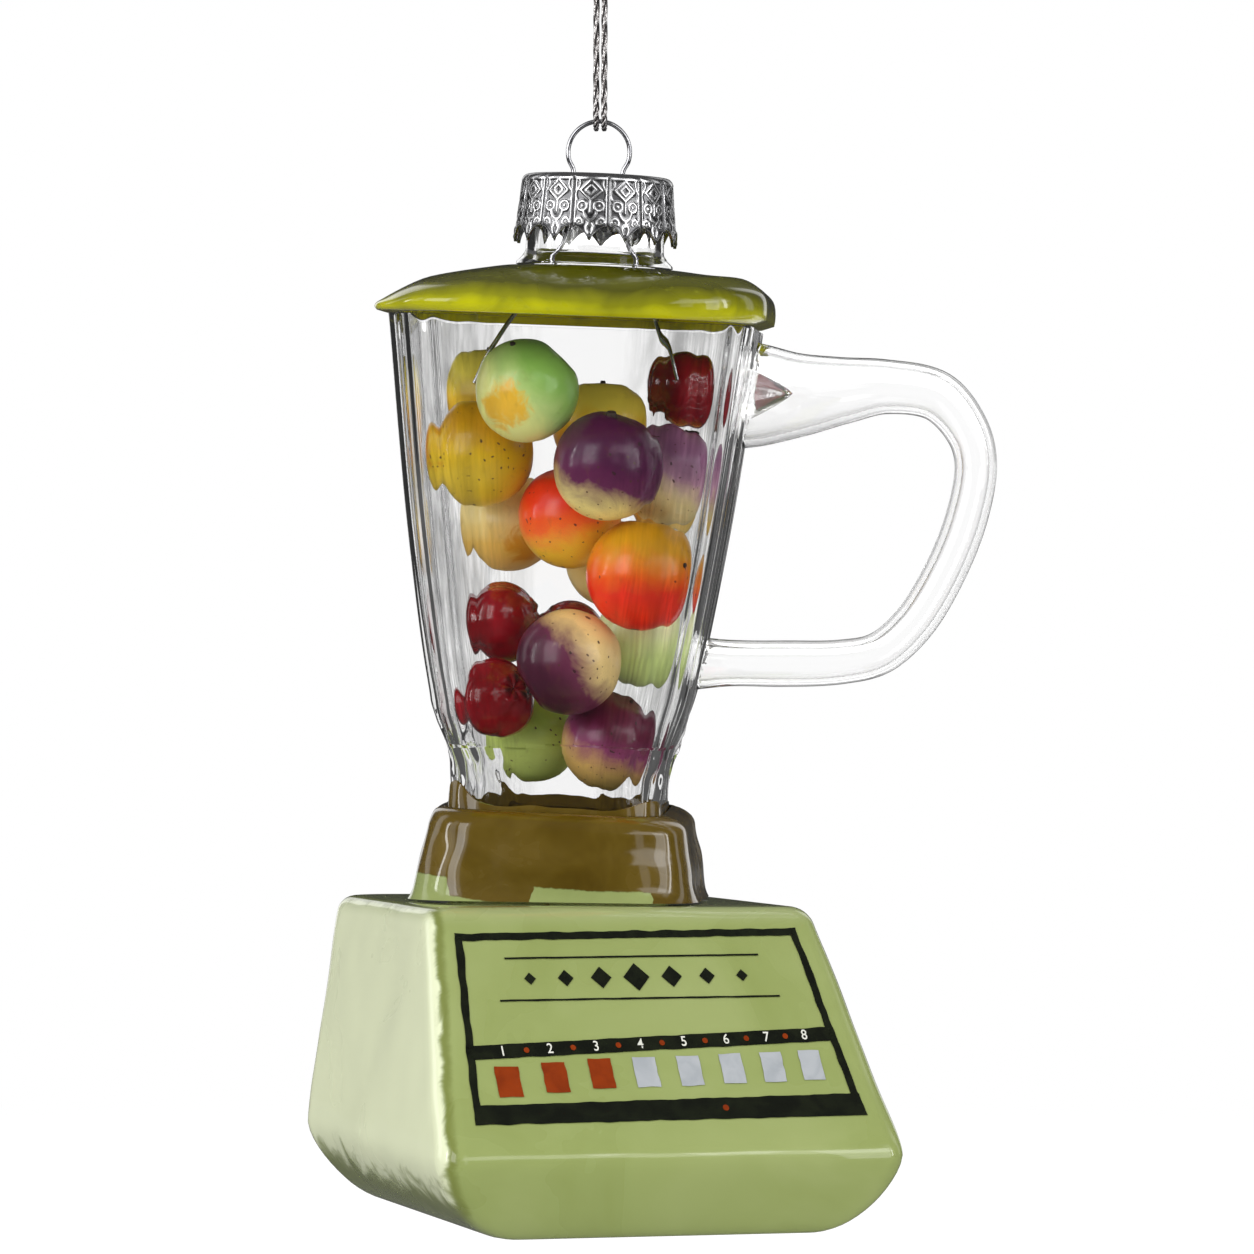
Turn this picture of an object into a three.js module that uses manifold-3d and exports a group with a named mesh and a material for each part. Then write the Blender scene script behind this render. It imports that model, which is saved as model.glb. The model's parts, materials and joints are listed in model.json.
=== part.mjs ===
// A mouth-blown glass ornament in the shape of a kitchen blender, hanging on a doubled cord.
// Sizes are in millimetres and +Z is up. Each piece is a named mesh of its own.
// The ornament is drawn in its own upright frame, with z = 0 at its foot, x along the jug's handle and
// the front towards -y. It is then hung by its ring, tilted as its own weight tilts it.
import * as THREE from "three";
import { mergeVertices } from "three/addons/utils/BufferGeometryUtils.js";
import Module from "manifold-3d";

const wasm = await Module();
wasm.setup();

// Shared clearances
const seatGap = 0.3; // between pieces that seat on or in each other
const fruitGap = 0.35; // between fruits, and from a fruit to the wall or the wire

// How it hangs
const cordDrop = 24.4; // from the inside of the cord's eye down to the ring's wire
const hangRoll = 2.3; // degrees, clockwise as seen from the front
const hangPitch = 2.7; // degrees, the foot swings back under the weight of the slanted front

// Base, in its own frame, turned about the jug's axis
const baseTurn = 23; // degrees, its panel faces right of the jug's front
const baseHeight = 36.5;
const baseWall = 1.3;
const baseWideLevel = 9.1; // height of its widest level
const baseWideHalf = 27.8;
const baseWideFront = 44.2;
const baseWideBack = 17.4;
const baseSideways = 0.6; // its lower part stands this far right of the jug's axis
const baseTopSideways = 0.3;
const baseTopHalf = 23.5;
const baseTopFront = 23.8;
const baseTopBack = 18.8;
const baseTopRound = 1.8;
const baseFootFront = 4.8; // how far the rounded lower edge turns in at the front
const baseFootSides = 9.5; // and at the sides and the back
const baseFrontCorner = 0.08; // corner radius as a share of the half width
const baseBackCorner = 0.27;
const baseMouth = 10; // radius of the blown opening under the collar
const baseLeanRight = 1.8; // degrees, the hand-joined base stands a little askew under the jug
const baseLeanFront = 2.6; // degrees
const bumperHeight = 4.4; // the front swells again between the panel and the foot
const bumperOut = 1;

// Collar
const collarHeight = 11;
const collarFootHalf = 16.8;
const collarTopHalf = 15.5;
const collarSideways = 0.4; // its outside stands this far right of its bore
const collarFlare = 0.6;
const collarShoulder = 2.5; // radius of its top edge
const collarCorner = 0.42;
const collarWall = 1.6;
const ledgeWidth = 2; // ledge inside, under the jug's foot
const ledgeHeight = 1.4;
const seatDepth = 2.6; // how deep the jug's foot sits in it

// Jug; each rise is above its foot
const jugHeight = 60.5;
const jugWall = 1.1;
const jugFloor = 1.3;
const jugCorner = 0.36;
const jugFootHalf = 12.4;
const jugWaistHalf = 12.8;
const jugWaistRise = 7.4;
const jugHipHalf = 15.1;
const jugHipRise = 15.6;
const jugBellyHalf = 18.3;
const jugBellyRise = 34.8;
const jugRimHalf = 21.4;
const ribsPerCorner = 4;
const ribDepth = 0.3;
const dimpleRadius = 3.7; // pulled point of glass inside the handle's upper end
const dimpleReach = 5.4;

// Handle
const handleWall = 0.9;
const handleBelowRim = 7.7; // from the jug's rim down to the middle of its upper end
const handleHeight = 32.1; // between the middles of its two ends
const handleReach = 48; // from the jug's axis to the handle's outermost centre-line
const handleUpperRadius = 6.1;
const handleUpperThin = 3.3;
const handleGripRadius = 2.55;
const handleLowerRadius = 2.8;
const handleEndSwell = 0.5;

// Lid
const lidWall = 1.2;
const lidEdgeRise = 1.2; // its widest level above the jug's rim
const lidCrownRise = 5.4; // its crown above its widest level
const lidLeft = 23.4;
const lidRight = 22.9;
const lidFront = 22.8;
const lidUnderHalf = 22; // half width of its lower face
const lidSeat = 20.2; // half width of the opening in its lower face, over the jug's rim
const lidRightRise = 1.2; // its fat right end stands this much higher
const lidLeftSag = 0.8; // its thin left end droops this much
const lidCrownRadius = 10.6;
const lidCorner = 0.5;
const lidHole = 7.8;

// Neck
const neckShift = 1.45; // the neck stands this far right of the jug's axis
const neckRadius = 8.3;
const neckWall = 1;
const neckHeight = 10.1;
const neckFootRadius = 9.4;
const neckFootHeight = 0.9;

// Cap
const capWall = 0.35;
const capTopRound = 0.7;
const capHeight = 8.2; // from its top to the tips of its points
const capFlare = 0.75;
const capPoints = 14;
const capPointDepth = 1.9;
const capPanelCrown = 0.14;
const slotOffset = 3;
const slotLength = 1.9;
const slotWidth = 1.2;

// Wire hanger
const wireRadius = 0.28;
const ringRadius = 3.7; // of the wire's centre-line
const ringRise = 2.9; // the ring's centre above the cap
const tailBelowCap = 0.5; // wire of the ring under the cap's plate
const leftLegReach = 14.2; // from the neck's axis, where the leg ends
const leftLegDrop = 14.5; // and how far that is below the neck's foot
const rightLegReach = 10.6;
const rightLegDrop = 13.2;

// Fruits
const fruitRadius = 6; // of a middling one

// Cord
const cordRadius = 0.325;
const cordApart = 0.96; // between the two strands
const eyeHalf = 1.5; // the strands bow out this far round the hook
const eyeHeight = 5;
const knotRadius = 1.25;
const knotHeight = 2.3;
const knotTail = 2.6;

// Heights that follow from the sizes above
const collarFoot = baseHeight + seatGap;
const collarTop = collarFoot + collarHeight;
const jugFoot = collarTop - seatDepth;
const jugWaistLevel = jugFoot + jugWaistRise;
const jugHipLevel = jugFoot + jugHipRise;
const jugBellyLevel = jugFoot + jugBellyRise;
const jugRimHeight = jugFoot + jugHeight;
const handleUpperLevel = jugRimHeight - handleBelowRim;
const handleLowerLevel = handleUpperLevel - handleHeight;
const lidEdgeHeight = jugRimHeight + lidEdgeRise;
const lidCrownHeight = lidEdgeHeight + lidCrownRise;
const neckFoot = lidCrownHeight + seatGap;
const neckTop = neckFoot + neckHeight;
const capUnder = neckTop + seatGap;
const capTop = capUnder + capWall;
const capTips = capTop - capHeight;
const ringCentre = capTop + ringRise;
const ringTop = ringCentre + ringRadius;

const degrees = THREE.MathUtils.degToRad;
const smooth = THREE.MathUtils.smoothstep;
const mix = THREE.MathUtils.lerp;

// Angles round a section: few on the flat sides, more at the corners
function sectionAngles(flatSteps, cornerSteps) {
  const cornerHalf = degrees(17);
  const angles = [];
  for (let side = 0; side < 4; side += 1) {
    const middle = side * Math.PI * 0.5;
    const flatHalf = Math.PI * 0.25 - cornerHalf;
    for (let i = 0; i < flatSteps; i += 1) {
      angles.push(middle - flatHalf + (2 * flatHalf * i) / flatSteps);
    }
    for (let i = 0; i < cornerSteps; i += 1) {
      angles.push(middle + flatHalf + (2 * cornerHalf * i) / cornerSteps);
    }
  }
  return angles;
}

// Distance from the middle of a unit square with rounded corners; a corner share of 1 is a circle
function squareReach(angle, corner) {
  const quarter = Math.PI * 0.5;
  const turned = Math.abs(((angle % quarter) + quarter) % quarter - quarter * 0.5);
  const fromSide = quarter * 0.5 - turned;
  const middle = 1 - corner;
  if (Math.tan(fromSide) <= middle) return 1 / Math.cos(fromSide);
  const s = Math.cos(fromSide) + Math.sin(fromSide);
  return middle * s + Math.sqrt(corner * corner + middle * middle * (s * s - 2));
}

// One closed ring of points at height z, with its own reach to each side
function ring(angles, level) {
  const { z, left, right, front, back, corner, backCorner = corner, x = 0, grow } = level;
  return angles.map((angle) => {
    const rounding = Math.sin(angle) > 0 ? backCorner : corner;
    const reach = squareReach(angle, rounding) + (grow ? grow(angle) : 0);
    const across = Math.cos(angle) * reach;
    const along = Math.sin(angle) * reach;
    return new THREE.Vector3(
      x + across * (across > 0 ? right : left),
      along * (along > 0 ? back : front),
      z,
    );
  });
}

// A level whose four sides are alike
function evenLevel(z, half, corner, more = {}) {
  return { z, left: half, right: half, front: half, back: half, corner, ...more };
}

// A closed surface over rings of equal counts; open ends are closed by a fan, and a loop of rings by itself
function skin(rings, joined = false) {
  const count = rings[0].length;
  const points = rings.flat();
  const faces = [];
  const strips = joined ? rings.length : rings.length - 1;
  for (let r = 0; r < strips; r += 1) {
    const low = r * count;
    const high = ((r + 1) % rings.length) * count;
    for (let i = 0; i < count; i += 1) {
      const next = (i + 1) % count;
      faces.push(low + i, low + next, high + next, low + i, high + next, high + i);
    }
  }
  if (!joined) {
    for (const [start, first] of [[0, true], [(rings.length - 1) * count, false]]) {
      const middle = new THREE.Vector3();
      for (let i = 0; i < count; i += 1) middle.addScaledVector(points[start + i], 1 / count);
      const centre = points.push(middle) - 1;
      for (let i = 0; i < count; i += 1) {
        const next = (i + 1) % count;
        faces.push(centre, start + (first ? next : i), start + (first ? i : next));
      }
    }
  }
  return outward(points, faces);
}

// A geometry from points and faces, turned so that its faces point out
function outward(points, faces) {
  let volume = 0;
  const cross = new THREE.Vector3();
  for (let i = 0; i < faces.length; i += 3) {
    cross.crossVectors(points[faces[i + 1]], points[faces[i + 2]]);
    volume += points[faces[i]].dot(cross);
  }
  if (volume < 0) faces.reverse();
  const geometry = new THREE.BufferGeometry().setFromPoints(points);
  geometry.setIndex(faces);
  geometry.computeVertexNormals();
  return geometry;
}

function toSolid(geometry) {
  const bare = geometry.clone();
  bare.deleteAttribute("normal");
  bare.deleteAttribute("uv");
  const merged = mergeVertices(bare, 1e-4);
  const vertProperties = new Float32Array(merged.attributes.position.array);
  const triVerts = new Uint32Array(merged.index.array);
  return new wasm.Manifold(new wasm.Mesh({ numProp: 3, vertProperties, triVerts }));
}

function fromSolid(solid) {
  const mesh = solid.getMesh();
  const geometry = new THREE.BufferGeometry();
  geometry.setAttribute("position", new THREE.BufferAttribute(mesh.vertProperties, 3));
  geometry.setIndex(new THREE.BufferAttribute(mesh.triVerts, 1));
  geometry.computeVertexNormals();
  return geometry;
}

// A round wire or cord along a curve
function roundTube(path, radius, sides, steps) {
  const outline = [];
  for (let i = 0; i < sides; i += 1) {
    const angle = (2 * Math.PI * i) / sides;
    outline.push(new THREE.Vector2(radius * Math.cos(angle), radius * Math.sin(angle)));
  }
  return new THREE.ExtrudeGeometry(new THREE.Shape(outline), {
    steps,
    extrudePath: path,
    bevelEnabled: false,
  });
}

function piece(name, geometry, color, roughness, metalness, opacity = 1) {
  const material = new THREE.MeshStandardMaterial({
    color,
    roughness,
    metalness,
    opacity,
    transparent: opacity < 1,
  });
  const mesh = new THREE.Mesh(geometry, material);
  mesh.name = name;
  return mesh;
}

// Base: a blown wedge with a slanted front, a soft front bumper and a rounded lower edge
function baseLevel(z, turnIn, round = 0) {
  const up = THREE.MathUtils.clamp((z - baseWideLevel) / (baseHeight - baseWideLevel), 0, 1);
  const swell = bumperOut * Math.exp(-(((z - baseWideLevel) / bumperHeight) ** 2));
  const inset = baseFootSides * turnIn ** 0.75 + round;
  const half = mix(baseWideHalf, baseTopHalf, up) - inset;
  return {
    z,
    left: half,
    right: half,
    front: mix(baseWideFront - bumperOut, baseTopFront, up) + swell - baseFootFront * turnIn - round,
    back: mix(baseWideBack, baseTopBack, up) - inset,
    corner: baseFrontCorner,
    backCorner: baseBackCorner,
    x: mix(baseSideways, baseTopSideways, up),
  };
}

function baseShell() {
  const angles = sectionAngles(2, 7);
  const roundSteps = 5;
  const outer = [];
  for (let i = 0; i <= roundSteps; i += 1) {
    const t = (Math.PI * 0.5 * i) / roundSteps;
    const z = baseWideLevel * (1 - Math.cos(t));
    outer.push(baseLevel(z, 1 - Math.sin(t)));
  }
  for (const share of [0.12, 0.3, 0.62]) {
    outer.push(baseLevel(mix(baseWideLevel, baseHeight - baseTopRound, share), 0));
  }
  for (let i = 0; i <= 3; i += 1) {
    const t = (Math.PI * 0.5 * i) / 3;
    const z = baseHeight - baseTopRound * (1 - Math.sin(t));
    outer.push(baseLevel(z, 0, baseTopRound * (1 - Math.cos(t))));
  }
  const inner = outer
    .filter((level) => level.z > baseWall && level.z < baseHeight - baseTopRound + 0.01)
    .reverse()
    .map((level) => ({
      ...level,
      left: level.left - baseWall,
      right: level.right - baseWall,
      front: level.front - baseWall,
      back: level.back - baseWall,
    }));
  const floor = baseLevel(baseWall, 1, baseWall);
  const mouth = evenLevel(baseHeight, baseMouth, 1);
  const throat = evenLevel(baseHeight - baseWall, baseMouth, 1);
  const ceiling = { ...inner[0], z: baseHeight - baseWall };
  ceiling.front -= baseTopRound * 0.5;
  const levels = [...outer, mouth, throat, ceiling, ...inner, floor];
  return skin(levels.map((level) => ring(angles, level)));
}

// The base's top leans with it, and the collar's foot is cut to that slope
function baseSlope(point) {
  return point.x * Math.tan(degrees(baseLeanRight)) - point.y * Math.tan(degrees(baseLeanFront));
}

// Collar: a tapered square sleeve with a ledge that the jug's foot stands on
function collar() {
  const angles = sectionAngles(2, 7);
  const bore = jugFootHalf + 2 * seatGap;
  const aside = { x: collarSideways };
  const outer = [evenLevel(collarFoot, collarFootHalf + collarFlare, collarCorner, aside)];
  const sideTop = collarTop - collarShoulder;
  for (const share of [0.1, 0.28, 0.65, 1]) {
    const half = mix(collarFootHalf, collarTopHalf, share);
    const flare = collarFlare * Math.exp(-7 * share) * (share < 1 ? 1 : 0);
    outer.push(evenLevel(mix(collarFoot, sideTop, share), half + flare, collarCorner, aside));
  }
  for (let i = 1; i <= 3; i += 1) {
    const t = (Math.PI * 0.5 * i) / 3;
    const half = collarTopHalf - collarShoulder * (1 - Math.cos(t));
    outer.push(evenLevel(sideTop + collarShoulder * Math.sin(t), half, collarCorner, aside));
  }
  const ledgeTop = jugFoot - seatGap;
  const inner = [
    evenLevel(collarTop, bore, jugCorner),
    evenLevel(ledgeTop, bore, jugCorner),
    evenLevel(ledgeTop, bore - ledgeWidth, jugCorner),
    evenLevel(ledgeTop - ledgeHeight, bore - ledgeWidth, jugCorner),
    evenLevel(ledgeTop - ledgeHeight, collarTopHalf - collarWall, collarCorner),
    evenLevel(collarFoot, collarFootHalf - collarWall, collarCorner),
  ];
  const rings = [...outer, ...inner].map((level) => ring(angles, level));
  for (const point of rings.flat()) {
    const share = (point.z - collarFoot) / (ledgeTop - ledgeHeight - collarFoot);
    if (share < 1) point.z += baseSlope(point) * (1 - share);
  }
  return skin(rings, true);
}

// The jug's half width at a height, through its foot, waist, hip, belly and rim
const jugSide = new THREE.CatmullRomCurve3(
  [
    new THREE.Vector3(jugFootHalf, 0, jugFoot),
    new THREE.Vector3(jugWaistHalf, 0, jugWaistLevel),
    new THREE.Vector3(jugHipHalf, 0, jugHipLevel),
    new THREE.Vector3(jugBellyHalf, 0, jugBellyLevel),
    new THREE.Vector3(jugRimHalf, 0, jugRimHeight),
  ],
  false,
  "centripetal",
).getPoints(60);

function jugHalf(z) {
  const above = jugSide.findIndex((p) => p.z >= z);
  if (above < 0) return jugRimHalf;
  if (above === 0) return jugFootHalf;
  const low = jugSide[above - 1];
  const high = jugSide[above];
  return mix(low.x, high.x, (z - low.z) / (high.z - low.z));
}

// Ribs run up each corner and fade out at the foot
function ribs(z, depth) {
  const strength = (depth * smooth(z, jugFoot, jugHipLevel)) / jugHalf(z);
  return (angle) => {
    const quarter = Math.PI * 0.5;
    const fromCorner = Math.abs((((angle % quarter) + quarter) % quarter) - quarter * 0.5);
    const fade = 1 - smooth(fromCorner, degrees(12), degrees(19));
    return strength * fade * Math.cos(fromCorner * ribsPerCorner * 10);
  };
}

function jugEnvelope(extra) {
  const angles = sectionAngles(3, 9);
  const rings = [];
  const upperHip = mix(jugHipLevel, jugBellyLevel, 0.58);
  const underRim = mix(jugBellyLevel, jugRimHeight, 0.47);
  for (const z of [jugFoot, jugWaistLevel, jugHipLevel, upperHip, jugBellyLevel, underRim, jugRimHeight]) {
    rings.push(ring(angles, evenLevel(z, jugHalf(z) + extra, jugCorner, { grow: ribs(z, ribDepth) })));
  }
  return skin(rings);
}

function jugShell() {
  const angles = sectionAngles(2, 9);
  const heights = [0, 0.05, 0.1, 0.16, 0.22, 0.3, 0.42, 0.57, 0.78, 1];
  const outer = [];
  const inner = [];
  for (const share of heights) {
    const z = mix(jugFoot, jugRimHeight, share);
    outer.push(evenLevel(z, jugHalf(z), jugCorner, { grow: ribs(z, ribDepth) }));
    const zInner = mix(jugFoot + jugFloor, jugRimHeight, share);
    inner.unshift(evenLevel(zInner, jugHalf(zInner) - jugWall, jugCorner));
  }
  const shell = toSolid(skin([...outer, ...inner].map((level) => ring(angles, level))));
  const wallAt = jugHalf(handleUpperLevel);
  const point = new THREE.ConeGeometry(dimpleRadius, dimpleReach + jugWall * 0.5, 16);
  point.rotateZ(-Math.PI * 0.5);
  point.translate(wallAt + (dimpleReach - jugWall * 0.5) * 0.5, 0, handleUpperLevel);
  return fromSolid(shell.add(toSolid(point)));
}

// Handle: a hollow tube, wide where it leaves the jug, drawn thin round the grip
function handle() {
  const wallUp = jugHalf(handleUpperLevel);
  const wallLow = jugHalf(handleLowerLevel);
  const grip = handleGripRadius;
  const out = (share) => mix(wallUp, handleReach, share);
  const down = (share) => mix(handleUpperLevel, handleLowerLevel, share);
  const upper = (share) => mix(handleUpperRadius, handleUpperThin, share);
  const bend = (share) => mix(handleUpperThin, grip, share);
  const stations = [
    [wallUp - 1.2, down(0), handleUpperRadius + handleEndSwell],
    [out(0.07), down(0), handleUpperRadius],
    [out(0.22), down(-0.006), upper(0.36)],
    [out(0.4), down(-0.028), upper(0.71)],
    [out(0.6), down(-0.05), handleUpperThin],
    [out(0.82), down(-0.022), bend(0.33)],
    [out(0.956), down(0.1), bend(0.8)],
    [out(1), down(0.224), grip],
    [out(0.967), down(0.436), grip],
    [out(0.869), down(0.664), grip],
    [out(0.752), down(0.835), grip],
    [out(0.613), down(0.944), mix(grip, handleLowerRadius, 0.2)],
    [out(0.453), down(0.981), mix(grip, handleLowerRadius, 0.6)],
    [out(0.197), down(0.997), handleLowerRadius],
    [mix(wallLow, handleReach, 0.112), down(1.003), handleLowerRadius],
    [wallLow - 1.2, down(1.009), handleLowerRadius + handleEndSwell],
  ];
  const line = new THREE.CatmullRomCurve3(
    stations.map(([x, z]) => new THREE.Vector3(x, 0, z)),
    false,
    "centripetal",
  );
  const girth = new THREE.CatmullRomCurve3(
    stations.map(([, , radius], i) => new THREE.Vector3(i, radius, 0)),
  );
  const steps = 30;
  const sides = 12;
  const ringAt = (t, thinner) => {
    const centre = line.getPoint(t);
    const along = line.getTangent(t);
    const side = new THREE.Vector3(0, 1, 0);
    const up = new THREE.Vector3().crossVectors(along, side);
    const radius = girth.getPoint(t).y - thinner;
    const points = [];
    for (let i = 0; i < sides; i += 1) {
      const angle = (2 * Math.PI * i) / sides;
      points.push(
        centre
          .clone()
          .addScaledVector(side, radius * Math.cos(angle))
          .addScaledVector(up, radius * Math.sin(angle)),
      );
    }
    return points;
  };
  const outer = [];
  const inner = [];
  for (let i = 0; i <= steps; i += 1) {
    outer.push(ringAt(i / steps, 0));
    inner.unshift(ringAt(i / steps, handleWall));
  }
  const tube = toSolid(skin([...outer, ...inner], true));
  return fromSolid(tube.subtract(toSolid(jugEnvelope(seatGap))));
}

// Lid: a low domed shell, sharp at its left edge and full at its right, open below and under the neck
function lidShell() {
  const angles = sectionAngles(3, 7);
  const under = jugRimHeight + seatGap;
  const level = (z, left, right, front, corner, x = 0) => ({ z, left, right, front, back: front, corner, x });
  const dome = (t) => {
    // t runs from the widest edge (0) to the flat crown (1)
    const z = mix(lidEdgeHeight, lidCrownHeight, Math.sin(t * Math.PI * 0.5) ** 0.92);
    const fall = Math.cos(t * Math.PI * 0.5);
    const reach = (edge, power) => lidCrownRadius + (edge - lidCrownRadius) * fall ** power;
    const corner = mix(lidCorner, 1, t * t);
    return level(z, reach(lidLeft, 2.3), reach(lidRight, 1.5), reach(lidFront, 1.8), corner, neckShift * t);
  };
  const outer = [
    level(under, lidUnderHalf, lidUnderHalf - 0.6, lidUnderHalf, lidCorner),
    level(under + 0.5, lidLeft - 0.3, lidRight - 0.1, lidFront - 0.2, lidCorner),
  ];
  for (const t of [0, 0.14, 0.3, 0.46, 0.62, 0.78, 0.9, 1]) outer.push(dome(t));
  const hole = (z) => level(z, lidHole, lidHole, lidHole, 1, neckShift);
  const shrink = (from, by, drop) => ({
    ...from,
    z: from.z - drop,
    left: from.left - by,
    right: from.right - by,
    front: from.front - by,
    back: from.back - by,
  });
  const lift = (levels) =>
    levels.map((one) => {
      const points = ring(angles, one);
      for (const p of points) {
        const share = smooth(one.z, lidEdgeHeight - 0.7, lidEdgeHeight + 1.5);
        const fade = 1 - smooth(one.z, lidCrownHeight - 2.2, lidCrownHeight);
        p.z += lidRightRise * share * fade * smooth(p.x, 0, lidRight);
        if (!outer.includes(one) || one === outer[0]) continue;
        const upper = mix(0.5, 1, smooth(one.z, lidEdgeHeight, lidEdgeHeight + 1.5));
        p.z -= lidLeftSag * upper * smooth(-p.x, lidLeft - 6.7, lidLeft - 1.1);
      }
      return points;
    });
  const inner = [
    shrink(dome(0.9), lidWall * 0.3, lidWall),
    shrink(dome(0.62), lidWall * 0.9, lidWall),
    shrink(dome(0.3), lidWall * 1.5, lidWall * 0.9),
    level(lidEdgeHeight + 0.3, lidSeat, lidSeat, lidSeat, lidCorner),
    level(under, lidSeat, lidSeat, lidSeat, lidCorner),
  ];
  const levels = [...outer, hole(lidCrownHeight), hole(lidCrownHeight - lidWall), ...inner];
  return skin(lift(levels), true);
}

// Neck: a short open tube with a spread foot
function neck() {
  const profile = [
    [neckRadius - neckWall, neckFoot],
    [neckFootRadius, neckFoot],
    [neckFootRadius - 0.15, neckFoot + neckFootHeight * 0.5],
    [neckRadius, neckFoot + neckFootHeight * 1.6],
    [neckRadius, neckTop - 0.3],
    [neckRadius - 0.3, neckTop],
    [neckRadius - neckWall + 0.2, neckTop],
    [neckRadius - neckWall, neckTop - 0.3],
    [neckRadius - neckWall, neckFoot],
  ];
  const geometry = new THREE.LatheGeometry(
    profile.map(([r, z]) => new THREE.Vector2(r, z)),
    26,
  );
  return geometry.rotateX(Math.PI * 0.5);
}

// Cap: a stamped crown whose panels end in points; two slots in its plate pass the wire
function crownCap() {
  const perPoint = 5;
  const around = capPoints * perPoint;
  const inside = neckRadius + seatGap;
  const edge = inside + capWall;
  const ringOf = (radius, height, panel) => {
    const points = [];
    for (let i = 0; i < around; i += 1) {
      const share = (i % perPoint) / perPoint; // from one crease to the next
      const crown = panel * capPanelCrown * Math.sin(share * Math.PI);
      const angle = (2 * Math.PI * i) / around;
      const r = radius + crown;
      points.push(new THREE.Vector3(r * Math.cos(angle), r * Math.sin(angle), height(share)));
    }
    return points;
  };
  const flat = (z) => () => z;
  const hem = (share) => capTips + capPointDepth * Math.abs(Math.cos(share * Math.PI)) ** 0.8;
  const side = (t) => mix(capTop - capTopRound, capTips + capPointDepth + 0.6, t);
  const rings = [
    ringOf(edge * 0.5, flat(capTop), 0),
    ringOf(edge - capTopRound, flat(capTop), 0),
    ringOf(edge - capTopRound * 0.29, flat(capTop - capTopRound * 0.29), 0.4),
    ringOf(edge, flat(side(0)), 1),
    ringOf(edge + capFlare * 0.45, flat(side(0.55)), 1),
    ringOf(edge + capFlare * 0.8, flat(side(1)), 1),
    ringOf(edge + capFlare, hem, 1),
    ringOf(inside + capFlare, hem, 1),
    ringOf(inside + capFlare * 0.8, flat(side(1)), 1),
    ringOf(inside, flat(side(0)), 1),
    ringOf(inside - 0.1, flat(capUnder), 0),
    ringOf(edge * 0.5, flat(capUnder), 0),
  ];
  let solid = toSolid(skin(rings));
  for (const sign of [-1, 1]) {
    const slot = new THREE.BoxGeometry(slotLength, slotWidth, capWall * 4);
    slot.translate(sign * slotOffset, 0, capTop);
    solid = solid.subtract(toSolid(slot));
  }
  return fromSolid(solid);
}

// The ring: spring wire bent round, its ends going down through the cap's slots
function wireRing() {
  const points = [new THREE.Vector3(-slotOffset, 0, capUnder - tailBelowCap)];
  const half = 180 - THREE.MathUtils.radToDeg(Math.asin(slotOffset / ringRadius));
  for (let angle = -half; angle <= half + 0.01; angle += half / 6) {
    const t = degrees(90 - angle);
    points.push(
      new THREE.Vector3(ringRadius * Math.cos(t), 0, ringCentre + ringRadius * Math.sin(t)),
    );
  }
  points.push(new THREE.Vector3(slotOffset, 0, capUnder - tailBelowCap));
  return roundTube(new THREE.CatmullRomCurve3(points, false, "centripetal"), wireRadius, 7, 36);
}

// A leg: the same wire under the cap, springing out inside the neck and the jug
function legLine(sign) {
  const reach = sign < 0 ? leftLegReach : rightLegReach;
  const end = neckFoot - (sign < 0 ? leftLegDrop : rightLegDrop);
  const start = capUnder - tailBelowCap - seatGap;
  const points = [
    new THREE.Vector3(sign * slotOffset, 0, start),
    new THREE.Vector3(sign * (slotOffset + 0.1), 0, mix(start, neckFoot, 0.35)),
    new THREE.Vector3(sign * (slotOffset + 1.7), 0, neckFoot + 0.4),
    new THREE.Vector3(sign * mix(slotOffset, reach, 0.66), 0, mix(neckFoot, end, 0.52)),
    new THREE.Vector3(sign * reach, 0, end),
  ];
  return new THREE.CatmullRomCurve3(points, false, "centripetal");
}

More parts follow.
